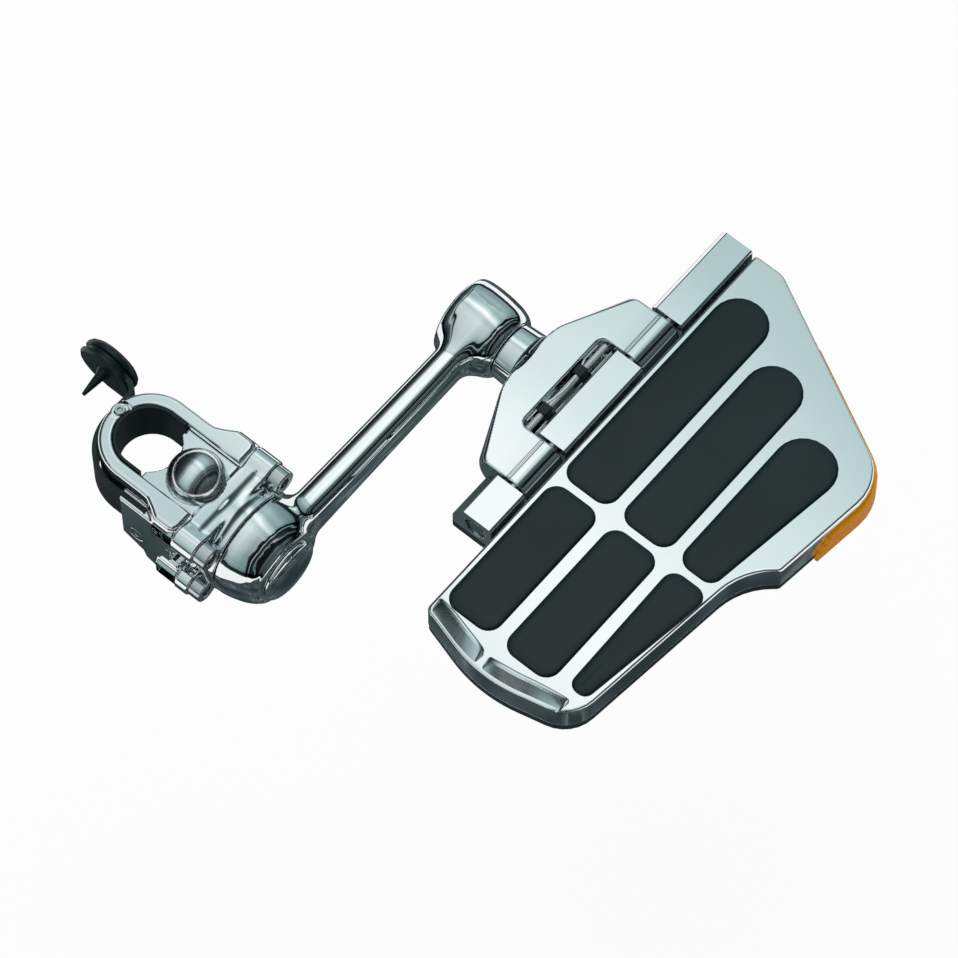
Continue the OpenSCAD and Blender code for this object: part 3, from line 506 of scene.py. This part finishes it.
def cast(name, distance, low, high, step):
    """The zero surface of a distance function as a smooth quad mesh."""
    axes = [np.arange(low[k] - 2 * step, high[k] + 3 * step, step) for k in range(3)]
    grid = np.meshgrid(*axes, indexing="ij")
    f = distance(grid)
    inside = f < 0
    corner = [(a, b, c) for a in (0, 1) for b in (0, 1) for c in (0, 1)]
    n = [s - 1 for s in f.shape]

    def at(o):
        return tuple(slice(o[k], o[k] + n[k]) for k in range(3))

    # One point in each cell that the surface crosses, at the mean of its crossings
    count = sum(inside[at(o)].astype(int) for o in corner)
    active = (count > 0) & (count < 8)
    index = -np.ones(active.shape, int)
    index[active] = np.arange(active.sum())
    cell = np.argwhere(active)
    total, hits = np.zeros((len(cell), 3)), np.zeros(len(cell))
    for o in corner:
        for k in range(3):
            if o[k]:
                continue
            e = list(o)
            e[k] = 1
            fa = f[tuple((cell + o).T)]
            fb = f[tuple((cell + e).T)]
            cross = (fa < 0) != (fb < 0)
            t = np.where(cross, fa / np.where(cross, fa - fb, 1), 0)
            where = np.tile(np.array(o, float), (len(cell), 1))
            where[:, k] = t
            total[cross] += where[cross]
            hits[cross] += 1
    origin = np.array([a[0] for a in axes])
    points = origin + (cell + total / hits[:, None]) * step
    eps, passes, least_slope = 0.04, 4, 0.2

    def change():
        """How the distance changes at the points over a short way along each axis."""
        ways = np.eye(3) * eps
        return np.stack([distance(list((points + way).T)) - distance(list((points - way).T))
                         for way in ways], 1)

    # The points are drawn onto the surface in a few short moves
    for _ in range(passes):
        d = distance(list(points.T))
        slope = change() / (2 * eps)
        move = slope * (d / np.maximum((slope**2).sum(1), least_slope))[:, None]
        far = np.linalg.norm(move, axis=1)
        points -= move * np.minimum(1, 0.5 * step / np.maximum(far, 1e-9))[:, None]
    # A quad round each grid edge that the surface crosses
    faces = []
    for k in range(3):
        u, v = (k + 1) % 3, (k + 2) % 3
        a = [slice(1, -1)] * 3
        a[k] = slice(0, -1)
        b = list(a)
        b[k] = slice(1, None)
        fa, fb = inside[tuple(a)], inside[tuple(b)]
        for first, flip in ((True, False), (False, True)):
            spot = np.argwhere((fa == first) & (fb != first))
            spot[:, u] += 1
            spot[:, v] += 1
            du, dv = np.eye(3, dtype=int)[u], np.eye(3, dtype=int)[v]
            ring = [spot - du - dv, spot - dv, spot, spot - du]
            quad = np.stack([index[tuple(r.T)] for r in ring], 1)
            faces.append(quad[:, ::-1] if flip else quad)
    mesh = bpy.data.meshes.new(name)
    mesh.from_pydata((points * MM).tolist(), [], np.concatenate(faces).tolist())
    mesh.shade_smooth()
    outward = change()
    outward /= np.maximum(np.linalg.norm(outward, axis=1), 1e-9)[:, None]
    mesh.normals_split_custom_set_from_vertices(outward.tolist())
    return mesh


# Radius along X of the turned forms, as [x, radius]
LOWER_FORM = [[63.6, 28.0], [68.2, 27.7], [74.0, 26.4], [79.7, 24.4], [83.8, 21.9], [85.9, 19.6],
              [86.6, 17.6]]
UPPER_FORM = [[59.9, 20.5], [62.4, 21.3], [66.1, 21.7], [73.3, 21.6], [80.5, 20.9], [85.9, 19.8],
              [89.8, 18.0], [91.9, 16.3]]
UPPER_CAP = [[56.8, 3.0], [57.1, 9.0], [57.9, 14.4], [58.9, 17.8], [59.8, 19.4]]
DOME_FORM = [[42, 17.0], [49.4, 24.1], [56.8, 27.5], [60.7, 28.4], [63.2, 28.26]]


def arm_distance(p):
    """Two turned hubs joined by a tapered oval beam, with cast fillets."""
    half_x, half_z, taper, flare, oval = 9.3, 12.5, 0.14, 5, 2.56
    t = np.clip(p[1] / ARM_LEN, 0, 1)
    w = half_x * (1 - taper * t)
    h = half_z * (1 - taper * t) + flare * ((1 - t) ** 7 + 0.7 * t**8)
    u, v = np.abs(p[0] - ARM_MID) / w, np.abs(p[2] - HUB_Z) / h
    beam = ((u**oval + v**oval) ** (1 / oval) - 1) * np.minimum(w, h)
    beam = np.maximum(beam, np.maximum(-p[1], p[1] - ARM_LEN))
    d = smooth_low(beam, turned(p, 0, LOWER_FORM), 6)
    d = smooth_low(d, turned(p, ARM_LEN, UPPER_FORM), 7)
    d = above_ground(d, p[2])
    d = drilled(d, p, ARM_X - 2, ARM_END + 2, SPIGOT_BORE)
    d = drilled(d, p, ARM_X + 13.8, ARM_END + 2, HEAD_POCKET)
    d = drilled(d, p, UPPER_X - 4, UPPER_END + 2, SPIGOT_BORE, ARM_LEN)
    return drilled(d, p, UPPER_X - 4, UPPER_X + 10.8, HEAD_POCKET, ARM_LEN)


def jaw_distance(side):
    """One half of the clamp: a pillowed band that flares into a foot, a side body, screw lugs."""
    start = 20 if side > 0 else 6
    thread_r = 4.06
    band = [(0, 0), (FOOT_X, 0), (FOOT_X, 27), (40.9, 29.5), (38.5, 30.5), (30, 30.5), (25, 27.4),
            (20, 24.9), (16, JAW_OUT), (0, JAW_OUT)]
    body = [(start, 3), (FOOT_X, 3), (FOOT_X, -9), (37, -9), (37, -25), (FOOT_X, -25),
            (FOOT_X, LUG_LOW), (29, LUG_LOW), (20.5, LUG_LOW + 3),
            (start + (29 - start) * 0.55, LUG_LOW + 8), (start, LUG_LOW + 13)]

    def distance(p):
        x, y, z = p[0], p[1] * side, p[2]
        around = np.hypot(x, y)
        eye = np.hypot(x - JAW_PIN[0], p[1] - JAW_PIN[1])
        plan = np.minimum(around - JAW_OUT, polygon(x, y, band))
        room = np.where(x > 0, np.abs(y), around) - JAW_IN
        ring = meet(np.maximum(plan, -y), -room, 0.3)
        top = meet(ring, np.abs(z) - CLAMP_HALF, 1.9)
        width = np.abs(y - (JAW_IN + SIDE_Y) / 2) - (SIDE_Y - JAW_IN) / 2
        d = smooth_low(top, meet(polygon(x, z, body), width, 1.4), 2.2)
        for row, _ in SCREW_ROWS:
            d = smooth_low(d, np.maximum(lugs(p, 29, FOOT_X, row), JAW_IN - y), 1.6)
            d = drilled(d, [x, y, z], 30, FOOT_X + 2, thread_r, SCREW_Y, row)
        d = above_ground(d, z)
        d = np.maximum(d, -room)
        d = np.maximum(d, -y)
        knuckle = np.maximum(eye - EYE_R, JAW_IN + 0.2 - around)
        if side > 0:
            d = np.maximum(d, EYE_R + EYE_GAP - eye)
            inner = np.abs(z) - KNUCKLE_HALF
            link = np.maximum(np.abs(x + 18.1) - 4, np.abs(y - 7.1) - 4.5)
            link = np.maximum(np.abs(around - (JAW_IN + JAW_OUT) / 2) - 3.3,
                              np.maximum(inner, link))
            d = np.minimum(d, np.minimum(meet(knuckle, inner, 0.4), link))
        else:
            d = smooth_low(d, meet(knuckle, np.abs(z) - CLAMP_HALF, 0.8), 0.8)
            d = np.maximum(d, -np.maximum(eye - EYE_R - EYE_GAP, np.abs(z) - KNUCKLE_HALF - 0.1))
            d = np.maximum(d, -brick(p, *STRAP_SLOT, 0.1))
            button = np.hypot(x - STRAP_X, z - STRAP_Z)
            for hole_r, floor_y in ((2.55, 20.8), (4.5, 28.15)):
                d = np.maximum(d, -np.maximum(button - hole_r, p[1] + floor_y))
        return np.maximum(d, JAW_PIN_R - eye)

    return distance


def saddle_distance(p):
    """Saddle, flange and dome: one casting with the polished ball let into its top."""
    x, y, z = p
    half, lip_r, valley_x, valley_r = 17.2, 3.6, 47.2, 5.2
    screw_hole, head_hole = 4.3, 6.7
    block = brick(p, (SADDLE_X, -half, -CLAMP_HALF), (FLANGE_X - 3, half, SADDLE_TOP), 0.35)
    valley = np.hypot((x - valley_x) * 0.9, z - SADDLE_TOP - 3.2) - valley_r
    block = smooth_high(block, -np.maximum(valley, np.abs(y) - 30), 2.5)
    lip = np.maximum(np.hypot(x - FLANGE_X + lip_r, z - 6.0) - lip_r, np.abs(y) - SCREW_Y)
    d = smooth_low(block, lip, 2.2)
    for row, seat in SCREW_ROWS:
        d = smooth_low(d, lugs(p, FOOT_X, seat, row), 1.8)
    d = smooth_low(d, rod(p, FOOT_X - 6, FLANGE_X, 16.7), 0.6)
    d = smooth_low(d, turned(p, 0, DOME_FORM, 0.8), 3.0)
    ball = np.sqrt((x - BALL_X) ** 2 + y**2 + (z - BALL_Z) ** 2) - BALL_R
    d = np.minimum(d, ball)
    d = np.minimum(d, rod(p, FLANGE_X, 77.1, SPIGOT_R))
    for row, seat in SCREW_ROWS:
        for screw_y in (-SCREW_Y, SCREW_Y):
            d = drilled(d, p, FOOT_X - 2, FLANGE_X + 2, screw_hole, screw_y, row)
            d = drilled(d, p, seat, DOME_X + 2, head_hole, screw_y, row)
    d = np.maximum(d, BORE_R - np.hypot(x, y))
    d = drilled(d, p, FOOT_X - 4, ARM_END, BOLT_HOLE)
    return np.maximum(d, np.maximum(SADDLE_X - x, SADDLE_LOW - z))


def mount_distance(p):
    """The wing that carries the fold pin: slanted sides rounded over their height, two knuckles."""
    x, y, h = p[0], np.abs(p[1] - ARM_LEN), np.abs(p[2] - HUB_Z)
    root_y, run_y, half_z, pin_hole = 20.9, 37.3, 9.2, 4.5
    run = np.clip((y - root_y) / run_y, 0, 1)
    slope = (0.98 + 4.1 * run) * (1 - np.sqrt(np.clip(1 - (h / 9.85) ** 2, 0, 1)))
    slant = -0.9124 * (x - NECK_X) + 0.4093 * (y - root_y) + slope
    wing = smooth_high(smooth_high(slant, NECK_X - x, 3.0),
                       meet(y - root_y - run_y, x - PIN_X + 0.5, 0.3), 3.0)
    wing = meet(wing, h - half_z - 0.65 * np.clip((x - 128) / 13, 0, 1) ** 2.2, 0.9)
    from_pin = np.hypot(x - PIN_X, p[2] - HUB_Z)
    d = smooth_low(wing, meet(from_pin - KNUCKLE_R, y - MOUNT_HALF, 1.1), 0.5)
    cut = meet(PIN_X - 17.4 - x, y - 31, 4.0)
    d = meet(d, -cut, 0.9)
    d = np.minimum(d, brick([x, y, p[2]], (121, -32, -26.8), (128.2, 32, -25.4), 0.4))
    d = np.minimum(d, rod(p, 73.0, NECK_X + 3, SPIGOT_R, ARM_LEN))
    d = np.maximum(d, pin_hole - from_pin)
    return drilled(d, p, 70, NECK_X + 3, BOLT_HOLE, ARM_LEN)


def rib_distance(x0, x1, bow, lean):
    """A heel rib: steep front, rolled crest that follows the heel edge, ends that curl down."""
    def distance(p):
        x, z = p[0], p[2] - BOARD_TOP
        crown, height = 21, 6.0
        a = np.abs(x - HEEL_MIDDLE)
        fall = np.where(x < HEEL_MIDDLE, 0.286, 0.241)
        edge = BOARD_Y + np.where(a < crown, a**2 / 160, 2.76 + fall * (a - crown))
        t = np.clip((x - x0) / (x1 - x0), 0, 1)
        lift = 0.25 + 0.75 * np.clip(np.sin(np.pi * t), 0, 1) ** 0.38
        lift = lift * (1 + lean * (0.5 - t))
        high, back = height * np.minimum(lift, 1.0), edge + 7 + bow * lift
        s = p[1] - back
        run, climb = 3.1 + bow * lift, high - 0.8
        front = ((edge + 2.3 - p[1]) * climb + z * run) / np.hypot(run, climb)
        face = meet(np.maximum(front, z - high + 0.5), s - 1.7 + (z + 1) * 0.12, 0.6)
        roll = np.hypot(s - 0.1, z - high + 1.25) - 1.35
        d = smooth_low(face, roll, 0.35)
        d = np.maximum(d, -1.2 - z)
        return meet(d, np.maximum(x0 - x, x - x1), 1.6)

    return distance


def collar_distance(p):
    """The swivel collar: a slightly conical ring on the mount's spigot."""
    x, rho = p[0], np.hypot(p[1] - ARM_LEN, p[2] - HUB_Z)
    x0, foot_r, cone = UPPER_END + 0.4, 15.4, 0.06
    side = rho - foot_r - (x - UPPER_END) * cone
    d = meet(side, np.abs(x - (x0 + NECK_X) / 2) - (NECK_X - x0) / 2, 0.7)
    return np.maximum(d, SPIGOT_R + 0.05 - rho)


# The spans end the jaws' screw lugs a little short of the CAD model, at Y -32.2 and 32.6
for name, side, span in (("jaw_lower", -1, (-31, 8)), ("jaw_upper", 1, (-4, 31))):
    mesh = cast(name, jaw_distance(side), (-26, span[0], LUG_LOW - 1),
                (FOOT_X, span[1], CLAMP_HALF), 0.6)
    keep(name + "_casting", mesh, "clamp", CHROME, "chrome", name)
mesh = cast("saddle", saddle_distance, (SADDLE_X - 0.1, -34, LUG_LOW), (77.5, 34, 24), 0.55)
keep("saddle_casting", mesh, "clamp", SADDLE, "chrome", "saddle_base")
mesh = cast("mount", mount_distance, (73, 101, -28), (152, 219, -6), 0.75)
keep("mount_casting", mesh, "mount", CHROME, "chrome", "hinge_mount")
mesh = cast("collar", collar_distance, (UPPER_END, 143, -34), (NECK_X, 177, 0), 0.6)
keep("collar_turned", mesh, BODY_OF["swivel_collar"], CHROME, "chrome", "swivel_collar")
for name, x0, x1, bow, lean in (("heel_rib_inner", 3, 36, 2.0, -0.2),
                                ("heel_rib_outer", 41, 83, 0.6, 0.35)):
    mesh = cast(name, rib_distance(BOARD_X + x0 - 0.9, BOARD_X + x1 + 0.9, bow, lean),
                (BOARD_X + x0 - 1, 14, BOARD_TOP - 1.5), (BOARD_X + x1 + 1, 46, BOARD_TOP + 7),
                0.35)
    keep(name, mesh, "board", ROLLED, "chrome")
mesh = cast("upper_cap", lambda p: turned(p, ARM_LEN, UPPER_CAP, 0.5), (56, 139, -38),
            (60.5, 181, 4), 0.45)
keep("upper_cap_dome", mesh, "arm", CHROME, "chrome", "upper_hub_cap")
for name, middle in (("spring_block_near", -16.6), ("spring_block_far", 10.6)):
    near, far = ARM_LEN + middle - 3, ARM_LEN + middle + 3
    mesh = cast(name, lambda p: brick(p, (SPRING_X, near, -25.3), (130.2, far, -9.6), 0.7),
                (124, near, -26), (131, far, -9), 0.5)
    keep(name, mesh, "mount", SOFT_RUBBER, "rubber")
ROLL_X, ROLL_Z, ROLL_R, ROLL_HALF = 127.6, -12.6, 1.7, 30.2
mesh = cast("spring_roll", lambda p: meet(np.hypot(p[0] - ROLL_X, p[2] - ROLL_Z) - ROLL_R,
                                          np.abs(p[1] - ARM_LEN) - ROLL_HALF, 0.5),
            (125, 129, -15), (130, 191, -10), 0.4)
keep("spring_roll", mesh, "mount", SPRING_STEEL, "hardware")
mesh = cast("arm_casting", arm_distance, (UPPER_X - 2, -29, -46), (UPPER_END, 183, 12), 0.9)
keep("arm_casting", mesh, "arm", CHROME, "chrome", "offset_arm")

dress("lower_hub_cap", CHROME, 0.4)
dress("board_base", CASTING, 0.4)
dress("top_plate", TREAD, 0.45, top=BOARD_TOP + 0.05)
for node in ("detent_spring", "fold_pin", "pin_clips"):
    dress(node, STEEL, 0.2, 2)

FASTENERS = fastener_tree()
QUARTER = math.pi / 2


def fasten(name, node, points, turn, head, shaft, socket, edge):
    """One kind of fastener on all its places; head, shaft and socket are (radius, length)."""
    mesh = FASTENERS.made(points, {
        "Head radius": head[0] * MM, "Head height": head[1] * MM,
        "Shaft radius": shaft[0] * MM, "Shaft length": shaft[1] * MM,
        "Socket radius": socket[0] * MM, "Socket depth": socket[1] * MM,
        "Turn": turn, "Finish": STEEL})
    return keep(name, softened(mesh, edge), BODY_OF[node], STEEL, SLOT_OF[node], node)


AXIAL, DOWN, OUTWARD = (0.0, QUARTER, 0.0), (2 * QUARTER, 0.0, 0.0), (QUARTER, 0.0, 0.0)
fasten("clamp_cap_screws", "clamp_screws",
       [(seat, y, row) for row, seat in SCREW_ROWS for y in (-SCREW_Y, SCREW_Y)],
       AXIAL, (6.4, 7.4), (4.0, 19.0), (3.46, 4.0), 0.8)
fasten("plate_cap_screws", "plate_screws",
       [(BOARD_X + x, BOARD_Y + y, BOARD_LOW + 2.6) for x, y in
        ((10, 22), (81.5, 22), (10, 128), (94.5, 128), (12, 246.4), (105.5, 198.4))],
       DOWN, (4.0, 2.5), (2.0, 10.9), (1.96, 1.7), 0.35)
fasten("leaf_screws", "spring_screws", [(125.2, ARM_LEN + y, HUB_Z) for y in (-22.5, 22.5)],
       AXIAL, (2.9, 1.8), (1.5, 0.6), (1.1, 0.9), 0.4)
fasten("strap_button", "strap_screw", [(STRAP_X, -28.2, STRAP_Z)],
       OUTWARD, (4.3, 1.7), (2.5, 6.8), (1.7, 1.3), 0.3)
fasten("jaw_pin_button", "jaw_hinge_pin", [(*JAW_PIN, CLAMP_HALF + 0.1)], (0.0, 0.0, 0.0),
       (JAW_PIN_R, 1.5), (JAW_PIN_R, 28.0), (1.3, 1.0), 0.3)
for node in ("lower_pivot_bolt", "lower_pivot_washer", "upper_pivot_bolt", "upper_pivot_washer"):
    dress(node, DARK_STEEL, 0.3, 2)
for node in ("toe_pad_inner", "toe_pad_middle", "toe_pad_outer", "heel_pad_inner",
             "heel_pad_middle", "heel_pad_outer"):
    dress(node, RUBBER, 0.7, 3, 50)
for node in ("tube_liner", "plug_and_strap"):
    dress(node, SOFT_RUBBER, 0.3, 2)
dress("reflector_lens", AMBER, 0.35)


# Studio: a pale floor, a soft overhead light, and a dark card and a gel for the plating to mirror
STAGE_X, STAGE_Y = 0.13, 0.11


def aimed(obj, place, target):
    obj.location = place
    obj.rotation_mode = "QUATERNION"
    obj.rotation_quaternion = (Vector(target) - Vector(place)).to_track_quat("-Z", "Y")
    SCENE.collection.objects.link(obj)
    return obj


def soft_light(name, place, size, watts, target=(STAGE_X, STAGE_Y, -0.02)):
    lamp = bpy.data.lights.new(name, "AREA")
    lamp.shape, lamp.size, lamp.size_y, lamp.energy = "RECTANGLE", size[0], size[1], watts
    return aimed(bpy.data.objects.new(name, lamp), place, target)


def plate(name, centre, half, finish, turn=0.0):
    """A level card with half of each side given, turned about its centre by so many degrees."""
    mesh = bpy.data.meshes.new(name)
    c, s = math.cos(math.radians(turn)), math.sin(math.radians(turn))
    corners = [(a * half[0], b * half[1]) for a, b in ((-1, -1), (1, -1), (1, 1), (-1, 1))]
    mesh.from_pydata([(centre[0] + u * c - v * s, centre[1] + u * s + v * c, centre[2])
                      for u, v in corners], [], [(0, 1, 2, 3)])
    obj = bpy.data.objects.new(name, mesh)
    SCENE.collection.objects.link(obj)
    mesh.materials.append(finish)
    return obj


def floor_finish():
    """Pale floor that shows as white where it is seen or mirrored, and keeps the shadow."""
    f = new_finish("pale_floor")
    camera_ray, glossy_ray, through_ray = (
        f.add("ShaderNodeLightPath", out=k)
        for k in ("Is Camera Ray", "Is Glossy Ray", "Is Transmission Ray"))
    seen = camera_ray.maths("MAXIMUM", glossy_ray).maths("MAXIMUM", through_ray)
    diffuse = f.add("ShaderNodeBsdfDiffuse", feeds={"Color": (0.9, 0.9, 0.9, 1)})
    white = f.add("ShaderNodeEmission", feeds={"Color": (1, 1, 1, 1), "Strength": 1.0})
    return f.shown(f.add("ShaderNodeMixShader", feeds={0: seen * 0.95, 1: diffuse, 2: white}))


def flag_finish():
    """Dark card low beside the object, with a few paler waves for the side walls to show."""
    f = new_finish("dark_flag")
    tone = f.ramp(f.noise(12.0, 2.0, 0.45), [
        (0.0, (0.012, 0.018, 0.020)), (0.40, (0.028, 0.042, 0.046)),
        (0.50, (0.055, 0.078, 0.083)), (0.58, (0.065, 0.088, 0.093)), (0.60, (0.17, 0.21, 0.215)),
        (0.62, (0.03, 0.042, 0.045)), (1.0, (0.012, 0.018, 0.020))])
    return f.shown(f.add("ShaderNodeEmission", feeds={"Color": tone, "Strength": 1.0}))


def gel_finish():
    """Graded gel over the set: what flat plated faces mirror through it dims towards the toe."""
    f = new_finish("graded_gel")
    place = f.place()
    across, along = (f.axis(place, k) for k in "XY")
    drift = (f.noise(5.0, 2.0, where=place) - 0.5) * 0.08
    tone = f.ramp(along + across * 0.2 + drift, [
        (0.0, (0.80, 0.82, 0.82)), (0.20, (0.54, 0.64, 0.645)), (0.265, (0.77, 0.83, 0.835)),
        (0.32, (1, 1, 1)), (0.38, (1, 1, 1)), (0.43, (0.79, 0.85, 0.85)),
        (0.51, (0.665, 0.755, 0.755)), (0.56, (0.51, 0.62, 0.62)), (0.66, (0.45, 0.55, 0.555)),
        (1.0, (0.70, 0.76, 0.76))])
    return f.shown(f.add("ShaderNodeBsdfTransparent", feeds={"Color": tone}))


plate("floor", (STAGE_X, STAGE_Y, -0.30), (6.0, 6.0), floor_finish())
flag = plate("dark_flag", (0.421, -0.299, -0.16), (0.28, 0.95), flag_finish(), 40.0)
gel = plate("graded_gel", (STAGE_X, STAGE_Y, 0.75), (2.5, 2.5), gel_finish())
for card in (flag, gel):
    card.visible_camera = card.visible_diffuse = False
    card.visible_shadow = card.visible_transmission = False


def studio():
    """Bright panels overhead with narrow dark gaps, over a dark horizon, as bands for the metal."""
    f = Finish(bpy.data.worlds.new("studio"))
    towards = f.add("ShaderNodeTexCoord", out="Generated")
    across, along, rise = (f.axis(towards, k) for k in "XYZ")
    sway = (f.noise(1.7, 2.0, where=towards) - 0.5) * 0.16
    panels = f.ramp((across + sway) * 0.5 + 0.5, [
        (0.0, (0.02, 0.025, 0.027)), (0.09, (0.03, 0.036, 0.038)), (0.12, (0.05, 0.062, 0.066)),
        (0.18, (0.13, 0.158, 0.165)), (0.205, (0.20, 0.24, 0.245)), (0.209, (0.80, 0.86, 0.86)),
        (0.221, (0.80, 0.86, 0.86)), (0.228, (0.01, 0.012, 0.012)), (0.243, (0.01, 0.012, 0.012)),
        (0.249, (0.98, 1.02, 1.02)), (0.37, (1.16, 1.18, 1.18)), (0.45, (1.25, 1.27, 1.27)),
        (0.57, (0.88, 0.95, 0.95)), (0.625, (0.56, 0.64, 0.645)), (0.633, (0.012, 0.014, 0.015)),
        (0.668, (0.015, 0.018, 0.019)), (0.673, (0.72, 0.78, 0.78)), (0.684, (0.60, 0.68, 0.68)),
        (0.69, (0.015, 0.018, 0.019)), (0.745, (0.05, 0.06, 0.063)), (0.75, (0.50, 0.57, 0.57)),
        (0.757, (0.50, 0.57, 0.57)), (0.765, (0.01, 0.012, 0.012)), (0.84, (0.015, 0.018, 0.019)),
        (0.87, (0.17, 0.20, 0.205)), (1.0, (0.08, 0.095, 0.10))])
    lift = f.ramp((rise + sway) * 0.5 + 0.5, [
        (0.0, (0.10, 0.12, 0.125)), (0.49, (0.06, 0.072, 0.075)), (0.52, (0.02, 0.024, 0.025)),
        (0.552, (0.026, 0.032, 0.034)), (0.565, (0.38, 0.45, 0.46)), (0.70, (0.78, 0.85, 0.855)),
        (0.86, (1.0, 1.0, 1.0)), (1.0, (0.92, 0.92, 0.92))])
    tone = f.blend(1.0, panels, lift, "MULTIPLY")
    side = f.ramp(along * 0.5 + 0.5, [
        (0.0, (0.48, 0.56, 0.565)), (0.45, (0.84, 0.87, 0.87)), (0.62, (1, 1, 1)),
        (0.80, (0.77, 0.84, 0.845)), (1.0, (0.34, 0.41, 0.415))])
    tone = f.blend(1.0, tone, side, "MULTIPLY")
    shade = f.add("ShaderNodeBackground", feeds={"Color": tone, "Strength": 1.0})
    return f.shown(shade, "ShaderNodeOutputWorld")


SCENE.world = studio()
soft_light("key", (-0.5, 0.7, 1.9), (1.0, 1.0), 16).visible_glossy = False

# The camera of the photograph: its three directions, what it aims at and how far off it stands
right, up, back = (Vector((0.766, 0.643, 0)), Vector((-0.5746, 0.685, 0.448)),
                   Vector((0.288, -0.343, 0.894)))
aim, distance = Vector((0.1252, 0.0961, -0.017)), 2.892
camera_data = bpy.data.cameras.new("camera")
camera_data.lens, camera_data.sensor_width = 225.0, 36.0
camera_data.clip_end = 50
camera = bpy.data.objects.new("camera", camera_data)
SCENE.collection.objects.link(camera)
pose = Matrix((right, up, back)).transposed().to_4x4()
pose.translation = aim + back * distance
camera.matrix_world = pose
SCENE.camera = camera
SCENE.view_settings.view_transform = "Standard"
